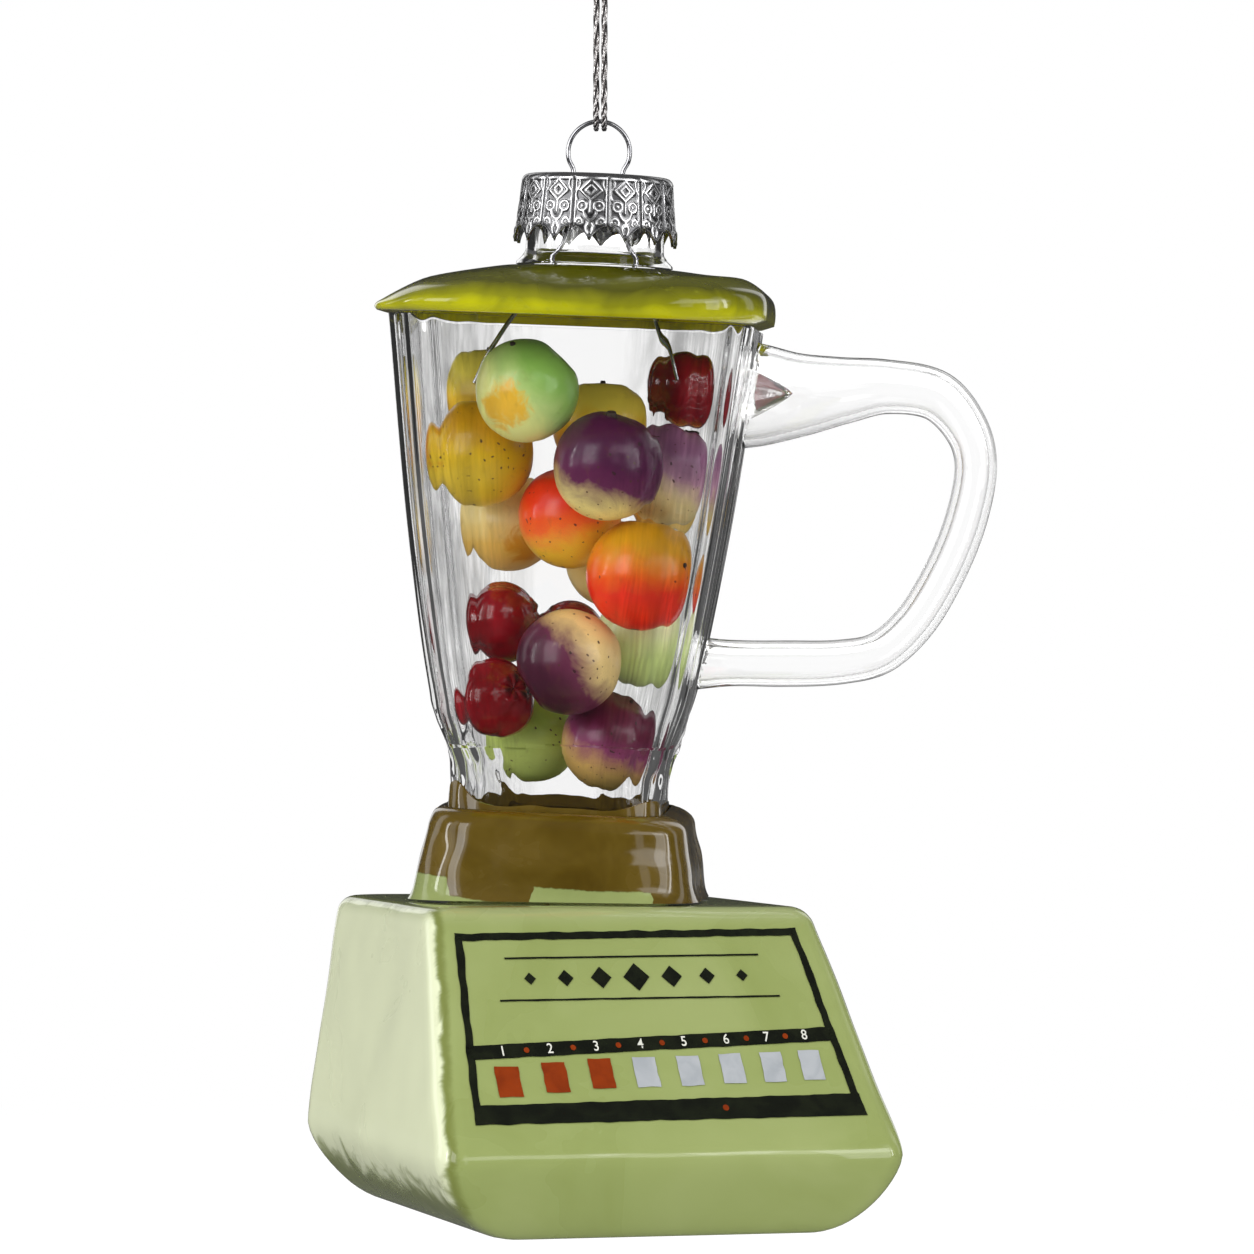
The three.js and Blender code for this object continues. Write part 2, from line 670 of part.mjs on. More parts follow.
// Fruits: x and y are shares of the jug's half width at its rim, z of its height, r of fruitRadius;
// x and z are where each shows from the front, y is roughly how deep it lies
const fruitPlan = [
  { name: "apple_green_top", x: -0.22, y: -0.397, z: 0.84, r: 1.05, color: 0x9cc27a },
  { name: "lemon_back_left", x: -0.542, y: 0.397, z: 0.851, r: 1, color: 0xd9b53a },
  { name: "lemon_back_middle", x: 0.201, y: 0.304, z: 0.793, r: 1, color: 0xd6b24a },
  { name: "berry_top_right", x: 0.542, y: 0.374, z: 0.876, r: 0.817, color: 0xa3142a, berry: true },
  { name: "quince_left", x: -0.561, y: -0.047, z: 0.711, r: 1.1, color: 0xd2a52c },
  { name: "peach_middle", x: -0.005, y: -0.047, z: 0.651, r: 1.05, color: 0xe0702a },
  { name: "plum_front_upper", x: 0.262, y: -0.467, z: 0.701, r: 1.1, color: 0x7a4a70 },
  { name: "plum_right", x: 0.607, y: -0.047, z: 0.701, r: 1.033, color: 0x8a6a86 },
  { name: "pear_cream_left", x: -0.35, y: 0.234, z: 0.607, r: 1.017, color: 0xdcc48c },
  { name: "pear_cream_middle", x: 0.164, y: 0.327, z: 0.527, r: 0.933, color: 0xdcc48c },
  { name: "apricot_back_right", x: 0.439, y: 0.444, z: 0.663, r: 0.917, color: 0xcfa04a },
  { name: "orange_front", x: 0.383, y: -0.28, z: 0.493, r: 1.133, color: 0xe88a2a },
  { name: "berry_left_upper", x: -0.379, y: 0.093, z: 0.397, r: 0.833, color: 0xa3142a, berry: true },
  { name: "berry_middle", x: 0.037, y: 0.374, z: 0.413, r: 0.817, color: 0xa3142a, berry: true },
  { name: "berry_left_lower", x: -0.439, y: -0.164, z: 0.274, r: 0.817, color: 0xa3142a, berry: true },
  { name: "plum_front_lower", x: 0.028, y: -0.374, z: 0.319, r: 1.067, color: 0x7a4a70 },
  { name: "apple_pale_right", x: 0.486, y: 0.187, z: 0.38, r: 0.983, color: 0xb9cf94 },
  { name: "plum_bottom_right", x: 0.252, y: -0.117, z: 0.205, r: 1, color: 0x7a4a70 },
  { name: "apple_green_bottom", x: -0.168, y: 0.187, z: 0.188, r: 0.95, color: 0x8fb46a },
];

// How far a fruit is inside the wall, and which way the wall pushes it; below zero it touches
function wallRoom(spot, radius) {
  const half = jugHalf(spot.z - radius * 0.25) - jugWall - fruitGap;
  const cornerRadius = jugCorner * half;
  const inner = half - cornerRadius;
  const overX = Math.max(Math.abs(spot.x) - inner, 0);
  const overY = Math.max(Math.abs(spot.y) - inner, 0);
  if (overX > 0 && overY > 0) {
    const reach = Math.hypot(overX, overY);
    const push = new THREE.Vector3(-Math.sign(spot.x) * overX, -Math.sign(spot.y) * overY, 0);
    return { room: cornerRadius - reach - radius, push: push.divideScalar(reach) };
  }
  const alongX = Math.abs(spot.x) > Math.abs(spot.y);
  return {
    room: half - Math.max(Math.abs(spot.x), Math.abs(spot.y)) - radius,
    push: new THREE.Vector3(alongX ? -Math.sign(spot.x) : 0, alongX ? 0 : -Math.sign(spot.y), 0),
  };
}

// Moves the fruits apart, mostly in depth, until none touches another, the wall or the wire
function settle(fruits, wires) {
  const between = new THREE.Vector3();
  const ease = new THREE.Vector3(0.35, 1, 0.35);
  for (let round = 0; round < 900; round += 1) {
    const pull = round < 600 ? 0.03 : 0;
    for (const fruit of fruits) fruit.spot.lerp(fruit.wanted, pull);
    fruits.forEach((one, i) => {
      for (const other of fruits.slice(i + 1)) {
        between.subVectors(one.spot, other.spot);
        const short = one.r + other.r + fruitGap - between.length();
        if (short <= 0) continue;
        if (Math.abs(between.y) < 0.5) between.y = 0.5 * Math.sign(one.wanted.y - other.wanted.y || 1);
        between.normalize().multiply(ease).normalize().multiplyScalar(short * 0.5);
        one.spot.add(between);
        other.spot.sub(between);
      }
      for (const p of wires) {
        between.subVectors(one.spot, p);
        const short = one.r + wireRadius + fruitGap + 0.1 - between.length();
        if (short > 0) one.spot.add(between.normalize().multiplyScalar(short));
      }
      const wall = wallRoom(one.spot, one.r);
      if (wall.room < 0) one.spot.addScaledVector(wall.push, -wall.room);
    });
  }
}

// The room between a fruit and whatever is nearest to it
function nearestRoom(fruit, fruits) {
  const rooms = fruits
    .filter((other) => other !== fruit)
    .map((other) => fruit.spot.distanceTo(other.spot) - fruit.r - other.r);
  return Math.min(...rooms, wallRoom(fruit.spot, fruit.r).room + fruitGap);
}

function fruitShape(fruit) {
  if (!fruit.berry) {
    return new THREE.SphereGeometry(fruit.r, 12, 8).rotateX(Math.PI * 0.5);
  }
  const profile = [new THREE.Vector2(0, -fruit.r * 0.86)];
  for (let i = 1; i <= 6; i += 1) {
    const t = (Math.PI * i) / 7;
    profile.push(new THREE.Vector2(fruit.r * Math.sin(t), -fruit.r * 0.86 * Math.cos(t)));
  }
  // the dry calyx is a low crown with a hollow in its middle
  profile.push(new THREE.Vector2(fruit.r * 0.3, fruit.r * 0.9));
  profile.push(new THREE.Vector2(fruit.r * 0.16, fruit.r * 0.97));
  profile.push(new THREE.Vector2(0, fruit.r * 0.86));
  const tilt = new THREE.Euler(0, 0, fruit.name === "berry_left_lower" ? -1.2 : 0.5);
  return new THREE.LatheGeometry(profile, 12).applyMatrix4(
    new THREE.Matrix4().makeRotationFromEuler(tilt),
  );
}

// Cord: one strand of the pair, from the knot down the front, under the ring's wire and up the back
function cordLine(sign) {
  const bight = wireRadius + seatGap + cordRadius;
  const side = (sign * cordApart) / 2;
  const half = [
    [0.55, 0.55],
    [1.15, -0.7],
    [eyeHalf, -eyeHeight * 0.45],
    [bight + 0.15, -eyeHeight],
    [bight, -eyeHeight * 1.6],
    [bight, -cordDrop * 0.5],
    [bight, -cordDrop * 0.72],
    [bight, -cordDrop * 0.9],
    [bight, -cordDrop + 0.2],
    [bight * 0.72, -cordDrop - bight * 0.7],
  ];
  const front = half.map(([y, z]) => new THREE.Vector3(side, -y, z));
  const back = half.map(([y, z]) => new THREE.Vector3(side, y, z)).reverse();
  const lowest = new THREE.Vector3(side, 0, -cordDrop - bight);
  return new THREE.CatmullRomCurve3([...front, lowest, ...back], false, "centripetal");
}

function cordKnot() {
  const foot = 0.55 + cordRadius + seatGap;
  const profile = [
    [0, 0],
    [knotRadius * 0.6, 0.05],
    [knotRadius, knotHeight * 0.3],
    [knotRadius * 0.93, knotHeight * 0.5],
    [knotRadius, knotHeight * 0.72],
    [knotRadius * 0.55, knotHeight],
    [cordRadius * 1.5, knotHeight + 0.2],
    [cordRadius * 1.7, knotHeight + knotTail],
    [0, knotHeight + knotTail],
  ];
  const geometry = new THREE.LatheGeometry(
    profile.map(([r, z]) => new THREE.Vector2(r, z)),
    12,
  );
  return geometry.rotateX(Math.PI * 0.5).translate(0, 0, foot);
}

// The cord hangs plumb
const model = new THREE.Group();
model.name = "glass_blender_ornament";
model.add(piece("cord_left", roundTube(cordLine(-1), cordRadius, 8, 40), 0xb9b9bd, 0.35, 0.8));
model.add(piece("cord_right", roundTube(cordLine(1), cordRadius, 8, 40), 0xb9b9bd, 0.35, 0.8));
model.add(piece("cord_knot", cordKnot(), 0xb9b9bd, 0.35, 0.8));

// The ornament hangs from the ring's wire, tilted about it
const hung = new THREE.Group();
hung.position.set(0, 0, -cordDrop);
hung.rotation.set(degrees(hangPitch), degrees(hangRoll), 0);
const upright = new THREE.Group();
upright.position.set(-neckShift, 0, -ringTop);
hung.add(upright);
model.add(hung);

const underCollar = new THREE.Group();
underCollar.position.z = baseHeight;
underCollar.rotation.set(-degrees(baseLeanFront), -degrees(baseLeanRight), 0, "YXZ");
const base = piece("base_shell", baseShell(), 0xb4c888, 0.12, 0);
base.rotation.z = degrees(baseTurn);
base.position.z = -baseHeight;
underCollar.add(base);
upright.add(underCollar);
upright.add(piece("collar", collar(), 0x77602a, 0.1, 0));
upright.add(piece("jug_shell", jugShell(), 0xf2f6f6, 0.02, 0, 0.25));
upright.add(piece("handle", handle(), 0xf2f6f6, 0.02, 0, 0.25));
upright.add(piece("lid_shell", lidShell(), 0x8a9a10, 0.1, 0));

const onNeck = new THREE.Group();
onNeck.position.x = neckShift;
onNeck.add(piece("neck", neck(), 0xf2f6f6, 0.02, 0, 0.25));
onNeck.add(piece("crown_cap", crownCap(), 0xc9c9cc, 0.25, 1));
onNeck.add(piece("wire_ring", wireRing(), 0xa8aab0, 0.2, 1));
onNeck.add(piece("wire_leg_left", roundTube(legLine(-1), wireRadius, 6, 14), 0xa8aab0, 0.2, 1));
onNeck.add(piece("wire_leg_right", roundTube(legLine(1), wireRadius, 6, 14), 0xa8aab0, 0.2, 1));
upright.add(onNeck);

const legPoints = [-1, 1].flatMap((sign) => legLine(sign).getPoints(40));
for (const p of legPoints) p.x += neckShift;
const fruits = fruitPlan.map((fruit) => {
  const wanted = new THREE.Vector3(fruit.x * jugRimHalf, fruit.y * jugRimHalf, jugFoot + fruit.z * jugHeight);
  return { ...fruit, r: fruit.r * fruitRadius, wanted, spot: wanted.clone() };
});
settle(fruits, legPoints);
for (const fruit of fruits) {
  const mesh = piece(fruit.name, fruitShape(fruit), fruit.color, fruit.berry ? 0.15 : 0.45, 0);
  mesh.position.copy(fruit.spot);
  upright.add(mesh);
}
const widest = Math.max(...fruits.map((fruit) => nearestRoom(fruit, fruits)));
console.log("widest room beside a fruit, mm:", widest.toFixed(2));

export default model;
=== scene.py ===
import json
from math import asin, atan2, cos, degrees, exp, hypot, pi, radians, sin, sqrt, tan
import bpy
from mathutils import Matrix, Vector, noise


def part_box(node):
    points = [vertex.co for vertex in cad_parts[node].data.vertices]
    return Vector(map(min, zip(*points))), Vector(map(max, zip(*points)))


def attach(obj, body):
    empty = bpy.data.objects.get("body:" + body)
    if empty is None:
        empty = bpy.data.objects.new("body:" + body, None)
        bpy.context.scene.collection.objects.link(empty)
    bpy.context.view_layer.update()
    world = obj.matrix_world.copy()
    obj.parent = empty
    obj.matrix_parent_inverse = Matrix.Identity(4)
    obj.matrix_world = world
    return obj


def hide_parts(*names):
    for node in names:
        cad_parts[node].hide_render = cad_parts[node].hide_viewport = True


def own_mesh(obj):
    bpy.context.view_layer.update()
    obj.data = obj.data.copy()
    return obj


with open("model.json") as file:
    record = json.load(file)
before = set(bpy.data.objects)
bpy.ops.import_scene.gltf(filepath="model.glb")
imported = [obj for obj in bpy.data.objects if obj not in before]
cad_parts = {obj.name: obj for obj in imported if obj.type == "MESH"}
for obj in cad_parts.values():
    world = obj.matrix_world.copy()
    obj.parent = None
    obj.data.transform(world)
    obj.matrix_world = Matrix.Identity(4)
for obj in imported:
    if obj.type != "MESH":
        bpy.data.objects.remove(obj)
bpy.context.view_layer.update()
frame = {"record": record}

# Frames: the cord hangs plumb, the ornament hangs tilted from it, and the base stands askew under the jug
hang = {"cordDrop": 24.4, "roll": 2.3, "pitch": 2.7, "ringTop": 129.95, "neckShift": 1.45}
stand = {"turn": 23, "height": 36.5, "leanRight": 1.8, "leanFront": 2.6}


def turned(angle, axis):
    return Matrix.Rotation(radians(angle), 4, axis)


def moved(x, z):
    return Matrix.Translation((x, 0, z))


perMetre = 1000  # the pieces are laid out in millimetres
toMetres = Matrix.Scale(1 / perMetre, 4)
uprightFrame = toMetres @ moved(0, -hang["cordDrop"]) @ turned(hang["pitch"], "X") @ turned(hang["roll"], "Y")
uprightFrame = uprightFrame @ moved(-hang["neckShift"], -hang["ringTop"])
neckFrame = uprightFrame @ moved(hang["neckShift"], 0)
baseFrame = uprightFrame @ moved(0, stand["height"]) @ turned(-stand["leanRight"], "Y")
baseFrame = baseFrame @ turned(-stand["leanFront"], "X") @ moved(0, -stand["height"])
baseFrame = baseFrame @ turned(stand["turn"], "Z")


# camera
view = {"azimuth": 4.0, "elevation": 1.8, "roll": 2.3, "distance": 600, "sensor": 36}
view["focal"] = 5000 / 1254 * view["sensor"]  # in pixels of the photo, over its width
aim = Vector((7.1, 0, 69.6))


def addCamera():
    a, e, r = (radians(view[k]) for k in ("azimuth", "elevation", "roll"))
    back = Vector((sin(a) * cos(e), -cos(a) * cos(e), sin(e)))
    level = Vector((cos(a), sin(a), 0))
    upward = back.cross(level)
    across = level * cos(r) + upward * sin(r)
    upward = upward * cos(r) - level * sin(r)
    axes = [(uprightFrame.to_3x3() @ v).normalized() for v in (across, upward, back)]
    camera = bpy.data.objects.new("photoCamera", bpy.data.cameras.new("photoCamera"))
    eye = Matrix.Translation(uprightFrame @ (aim + back * view["distance"]))
    camera.matrix_world = eye @ Matrix(axes).transposed().to_4x4()
    camera.data.sensor_width = view["sensor"]
    camera.data.lens = view["focal"]
    camera.data.clip_start = 0.01
    camera.data.clip_end = 50
    bpy.context.collection.objects.link(camera)
    bpy.context.scene.camera = camera


addCamera()
print("camera set")


# mesh helpers
def mix(a, b, t):
    return a + (b - a) * t


def clamp(value, low=0.0, high=1.0):
    return max(low, min(high, value))


def smooth(value, low, high):
    t = clamp((value - low) / (high - low))
    return t * t * (3 - 2 * t)


def bell(value, width):
    return exp(-((value / width) ** 2))


def turnOf(i, count):
    return 2 * pi * i / count


def polar(reach, angle, z=0.0):
    return Vector((reach * cos(angle), reach * sin(angle), z))


def wave(p, size, seed=0.0):
    # smooth noise from -1 to 1; size is in millimetres, a number or one for each axis
    x, y, z = size if isinstance(size, tuple) else (size, size, size)
    return noise.noise(Vector((p[0] / x + seed, p[1] / y - seed * 0.7, p[2] / z + seed * 1.3)))


def loft(rings, closed=False, ends=True):
    # quads between rings of equal counts; a closed loft comes back to its first ring
    count = len(rings[0])
    points = [p for one in rings for p in one]
    faces = []
    for r in range(len(rings) if closed else len(rings) - 1):
        low, high = r * count, ((r + 1) % len(rings)) * count
        for i in range(count):
            after = (i + 1) % count
            faces.append((low + i, low + after, high + after, high + i))
    if ends and not closed:
        for start, first in ((0, True), ((len(rings) - 1) * count, False)):
            points.append(sum((points[start + i] for i in range(count)), Vector()) / count)
            for i in range(count):
                pair = (start + (i + 1) % count, start + i)
                faces.append((len(points) - 1, *(pair if first else pair[::-1])))
    return points, faces


def joined(shapes):
    points, faces = [], []
    for more, extra in shapes:
        faces += [tuple(i + len(points) for i in face) for face in extra]
        points += more
    return points, faces


def turnedProfile(profile, steps, shape=None):
    # rings of a profile of (radius, height) turned about z
    rings = []
    for r, z in profile:
        turns = [turnOf(i, steps) for i in range(steps)]
        rings.append([shape(polar(r, a, z), a) if shape else polar(r, a, z) for a in turns])
    return rings


def smoothLine(points, steps):
    # a smooth centripetal curve through the points, as in the CAD source
    pts = [Vector(p) for p in points]
    ends = [pts[0] * 2 - pts[1]] + pts + [pts[-1] * 2 - pts[-2]]
    spans = len(ends) - 3
    line = []
    for k in range(steps + 1):
        t = k / steps * spans
        i = min(int(t), spans - 1)
        t -= i
        p0, p1, p2, p3 = ends[i : i + 4]
        d0, d1, d2 = (max((b - a).length, 1e-6) ** 0.5 for a, b in ((p0, p1), (p1, p2), (p2, p3)))
        t1 = ((p1 - p0) / d0 - (p2 - p0) / (d0 + d1) + (p2 - p1) / d1) * d1
        t2 = ((p2 - p1) / d1 - (p3 - p1) / (d1 + d2) + (p3 - p2) / d2) * d1
        a, b = p1 * 2 - p2 * 2 + t1 + t2, p2 * 3 - p1 * 3 - t1 * 2 - t2
        line.append(a * t**3 + b * t**2 + t1 * t + p1)
    return line


def frameAlong(line, side, closed=False):
    # for each point: the point, and two directions square to the line there
    frames = []
    last = len(line) - 1
    for i, p in enumerate(line):
        before = line[i - 1] if closed or i > 0 else p
        after = line[(i + 1) % len(line)] if closed or i < last else p
        along = (after - before).normalized()
        side = (side - along * side.dot(along)).normalized()
        frames.append((p, side, along.cross(side)))
    return frames


def tube(line, radius, sides, side=Vector((0, 1, 0)), closed=False):
    # radius is a number, or a function of the share along the line and the angle round it
    rings = []
    for k, (p, across, over) in enumerate(frameAlong(line, side, closed)):
        one = []
        for i in range(sides):
            angle = turnOf(i, sides)
            r = radius(k / (len(line) - 1), angle) if callable(radius) else radius
            one.append(p + across * (r * cos(angle)) + over * (r * sin(angle)))
        rings.append(one)
    return loft(rings, closed)


def addPiece(
    name, shape, material, slotName, nodes=(), place=uprightFrame, body="glass", sharp=60, marks=None
):
    # shape is (points, faces) in millimetres in the frame of place; the mesh itself is in the shared frame
    points, faces = shape
    mesh = bpy.data.meshes.new(name)
    mesh.from_pydata([place @ Vector(p) for p in points], [], faces)
    if marks:
        field = mesh.attributes.new("relief", "FLOAT", "POINT")
        field.data.foreach_set("value", marks + [0.5] * (len(points) - len(marks)))
    piece = bpy.data.objects.new(name, mesh)
    bpy.context.collection.objects.link(piece)
    mesh.shade_smooth()
    mesh.set_sharp_from_angle(angle=radians(sharp))
    mesh.materials.append(material)
    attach(piece, body)
    if nodes:
        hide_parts(*nodes)
    return piece


# material helpers: colours are given as they show, from 0 to 255
def srgb(*colour):
    linear = [c / 255 / 12.92 if c / 255 <= 0.04045 else ((c / 255 + 0.055) / 1.055) ** 2.4 for c in colour]
    return (*linear, 1.0)


class Field:
    # a value in a node tree, which adds and multiplies as a number does
    def __init__(self, n, socket):
        self.n, self.socket = n, socket

    def __add__(self, other):
        return self.n.math("ADD", self, other)

    def __sub__(self, other):
        return self.n.math("SUBTRACT", self, other)

    def __rsub__(self, other):
        return self.n.math("SUBTRACT", other, self)

    def __mul__(self, other):
        return self.n.math("MULTIPLY", self, other)

    def __truediv__(self, other):
        return self.n.math("DIVIDE", self, other)

    def __pow__(self, other):
        return self.n.math("POWER", self, other)

    def __abs__(self):
        return self.n.math("ABSOLUTE", self)


class Nodes:
    # short calls to lay out one node tree; a node's outputs are found by place or name
    def __init__(self, tree):
        self.tree = tree
        tree.nodes.clear()

    def plug(self, socket, value):
        if isinstance(value, Field):
            self.tree.links.new(value.socket, socket)
        else:
            socket.default_value = value

    def fields(self, node):
        return {key: Field(self, s) for i, s in enumerate(node.outputs) for key in (i, s.name)}

    def add(self, kind, values=None, **settings):
        node = self.tree.nodes.new("ShaderNode" + kind)
        for key, value in settings.items():
            setattr(node, key, value)
        for key, value in (values or {}).items():
            self.plug(node.inputs[key], value)
        return self.fields(node)

    def math(self, operation, a, b=0.0):
        return self.add("Math", {0: a, 1: b}, operation=operation)[0]

    def most(self, a, b):
        return self.math("MAXIMUM", a, b)

    def vector(self, operation, a, b, c=(0, 0, 0)):
        return self.add("VectorMath", {0: a, 1: b, 2: c}, operation=operation)

    def parts(self, where):
        split = self.add("SeparateXYZ", {0: where})
        return [split[i] for i in range(3)]

    def ramp(self, value, stops):
        # stops are (place, colour or grey)
        node = self.tree.nodes.new("ShaderNodeValToRGB")
        self.plug(node.inputs[0], value)
        while len(node.color_ramp.elements) < len(stops):
            node.color_ramp.elements.new(0.5)
        for element, (place, colour) in zip(node.color_ramp.elements, stops):
            element.position = place
            element.color = srgb(*colour) if isinstance(colour, tuple) else (colour, colour, colour, 1)
        return self.fields(node)[0]

    def range(self, value, low, high, start=0.0, end=1.0):
        values = {0: value, 1: low, 2: high, 3: start, 4: end}
        return self.add("MapRange", values, interpolation_type="SMOOTHSTEP")[0]

    def blend(self, share, a, b):
        a, b = (srgb(*one) if isinstance(one, tuple) else one for one in (a, b))
        return self.add("Mix", {0: share, 6: a, 7: b}, data_type="RGBA")[2]

    def noise(self, where, scale, detail=2.0, rough=0.5, distortion=0.0):
        values = {"Vector": where, "Scale": scale, "Detail": detail}
        return self.add("TexNoise", {**values, "Roughness": rough, "Distortion": distortion})[0]

    def uneven(self, where, scale, detail, rough, reach, distortion=0.0):
        # noise about zero
        return (self.noise(where, scale, detail, rough, distortion) - 0.5) * reach

    def group(self, tree, values):
        return self.add("Group", values, node_tree=tree)

    def rest(self):
        # the rest position, in metres
        return self.add("TexCoord")["Object"]

    def placeIn(self, place):
        # the rest position in millimetres, in a piece's own frame
        back = place.inverted()
        values = {"Vector": self.rest(), "Location": back.to_translation(), "Scale": [perMetre] * 3}
        values["Rotation"] = back.to_quaternion().to_euler("XYZ")
        return self.add("Mapping", values, vector_type="POINT")[0]

    def shader(self, values, height, strength, distance):
        bump = self.add("Bump", {"Strength": strength, "Distance": distance, "Height": height})[0]
        return self.add("BsdfPrincipled", {**values, "Normal": bump})[0]

    def emission(self, strength):
        return self.add("Emission", {"Color": (1, 1, 1, 1), "Strength": strength})[0]

    def mixed(self, share, a, b):
        return self.add("MixShader", {0: share, 1: a, 2: b})[0]


def newGroup(name, inputs, outputs):
    # every group takes a place, and numbers with these values to start from
    tree = bpy.data.node_groups.new(name, "ShaderNodeTree")
    n = Nodes(tree)
    tree.interface.new_socket("Place", in_out="INPUT", socket_type="NodeSocketVector")
    for label, value in inputs.items():
        tree.interface.new_socket(label, in_out="INPUT", socket_type="NodeSocketFloat").default_value = value
    for label in outputs:
        tree.interface.new_socket(label, in_out="OUTPUT", socket_type="NodeSocketFloat")
    return n, n.fields(tree.nodes.new("NodeGroupInput")), tree.nodes.new("NodeGroupOutput").inputs


def specklesGroup():
    # small dark dots of uneven size and strength, some places bare
    n, given, out = newGroup("speckles", {"Scale": 1.0, "Size": 0.2, "Share": 0.5}, ["Mask"])
    wobble = n.add("TexNoise", {"Vector": given["Place"], "Scale": 2.2})[1]
    shifted = n.vector("MULTIPLY_ADD", wobble, (0.3, 0.3, 0.3), given["Place"])[0]
    cells = n.add("TexVoronoi", {"Vector": shifted, "Scale": given["Scale"]})
    fate = n.add("SeparateColor", {0: cells["Color"]})
    dot = n.math("LESS_THAN", cells["Distance"], given["Size"] * (fate[1] + 0.35))
    kept = n.math("LESS_THAN", fate[0], given["Share"])
    n.plug(out["Mask"], dot * kept * 0.85)
    return n.tree


def flowGroup():
    # hand-worked glass: fine waves drawn out along z, and broad slow ones
    n, given, out = newGroup("glassFlow", {"Scale": 1.0, "Stretch": 6.0, "Slow": 2.5}, ["Height"])
    x, y, z = n.parts(given["Place"])
    drawn = n.add("CombineXYZ", {0: x, 1: y, 2: z / given["Stretch"]})[0]
    fine = n.noise(drawn, given["Scale"], 3, 0.5, 0.4)
    broad = n.noise(given["Place"], given["Scale"] * 0.3, 1, 0.4)
    n.plug(out["Height"], fine + broad * given["Slow"])
    return n.tree


def striaeGroup():
    # painted shade: fine grey lines drawn up the glass, thickest by the four corners, in place of the dark
    # streaks that refraction in the ribs gives; 1 is clear glass
    n, given, out = newGroup("striaeShade", {"Depth": 0.5}, ["Clear"])
    x, y, z = n.parts(given["Place"])
    angle = n.math("ARCTAN2", y, x)
    corner = n.range(abs(n.math("SINE", angle * 2)), 0.5, 0.95)
    drawn = {0: n.math("COSINE", angle) * 7, 1: n.math("SINE", angle) * 7, 2: z / 26}
    drawn = n.add("CombineXYZ", drawn)[0]
    wide = n.range(abs(n.noise(drawn, 1.0) - 0.5), 0.0, 0.09, 1, 0)
    fine = n.range(abs(n.noise(drawn, 2.6) - 0.5), 0.0, 0.1, 1, 0)
    n.plug(out["Clear"], 1 - n.most(wide, fine * 0.7) * corner * given["Depth"])
    return n.tree


def lacquerGroup():
    # lacquer over glass: slow unevenness, a fine orange peel, and a mask for thin places
    n, given, out = newGroup("lacquer", {"Scale": 0.1}, ["Height", "Uneven", "Thin"])
    slow = n.noise(given["Place"], given["Scale"], 3, 0.55, 0.6)
    peel = n.noise(given["Place"], given["Scale"] * 14)
    n.plug(out["Height"], slow + peel * 0.06)
    n.plug(out["Uneven"], slow)
    n.plug(out["Thin"], n.range(n.noise(given["Place"], given["Scale"] * 4, 4, 0.65), 0.6, 0.72))
    return n.tree


speckles = specklesGroup()
glassFlow = flowGroup()
striaeShade = striaeGroup()
lacquer = lacquerGroup()


def newMaterial(name):
    material = bpy.data.materials.new(name)
    material.use_nodes = True
    n = Nodes(material.node_tree)
    n.material = material
    return n


def finish(n, shader):
    n.add("OutputMaterial", {0: shader})
    return n.material


def newLacquer(name, place, scale):
    n = newMaterial(name)
    where = n.placeIn(place)
    return n, where, n.group(lacquer, {"Place": where, "Scale": scale})


def finishLacquer(n, shade, rough, coatRough, height, strength, distance):
    values = {"Base Color": shade, "Roughness": rough, "Coat Weight": 1.0, "Coat Roughness": coatRough}
    values["Specular IOR Level"] = 0.2
    return finish(n, n.shader(values, height, strength, distance))


# painted shade: how dark the glass is coloured, from facing the look to edge-on
wallOutlineShade = [(0.0, 1.0), (0.6, 0.998), (0.85, 0.965), (0.95, 0.86), (1.0, 0.5)]
tubeOutlineShade = [(0.0, 1.0), (0.2, 0.985), (0.34, 0.94), (0.44, 0.78), (0.56, 0.46), (0.72, 0.26), (1.0, 0.1)]


def clearGlass(
    name, place, outlineShade, ior=1.45, scale=0.35, stretch=6, strength=0.05, slow=2.5, streakShade=0, covers=False
):
    # painted shade: the glass is coloured darker towards its outline, where it turns edge-on to the look, in
    # place of the dark edges that reflections give real glass
    n = newMaterial(name)
    where = n.placeIn(place)
    flow = n.group(glassFlow, {"Place": where, "Scale": scale, "Stretch": stretch, "Slow": slow})
    shade = n.ramp(n.add("LayerWeight", {"Blend": 0.5})["Facing"], outlineShade)
    if streakShade:
        # painted shade: grey streaks blended into the glass colour
        clear = n.group(striaeShade, {"Place": where, "Depth": streakShade})["Clear"]
        shade = n.blend(clear, (92, 92, 90), shade)
    values = {"Base Color": shade, "Roughness": 0.0, "IOR": ior, "Transmission Weight": 1.0}
    if ior < 1.4:
        values.update({"Coat Weight": 0.5, "Coat IOR": 1.5, "Coat Roughness": 0.0})
    shader = n.shader(values, flow["Height"], strength, 0.0004)
    rays = n.add("LightPath")
    passing = n.most(rays["Is Shadow Ray"], rays["Is Diffuse Ray"])
    if covers:
        # what lies inside mirrors the room as if the glass were not there
        passing = n.most(passing, rays["Is Glossy Ray"] - rays["Is Transmission Ray"])
    return finish(n, n.mixed(passing, shader, n.add("BsdfTransparent", {"Color": (0.99, 0.99, 0.99, 1)})[0]))


# cord: two silver strands, each laid from three fine plies
cordSizes = {"radius": 0.325, "apart": 0.96, "eyeHalf": 1.5, "eyeHeight": 5, "bight": 0.905}
cordSizes.update({"steps": 960, "pathEvery": 12, "sides": 12, "plies": 3, "turns": 30, "depth": 0.26})
cordLook = {"place": toMetres, "body": "hang_cord", "sharp": 180}
knotSizes = {"thread": 0.42, "width": 0.62, "height": 0.62, "foot": 1.35, "tail": 0.27}
knotSizes.update({"steps": 96, "sides": 10, "tailSteps": 16})


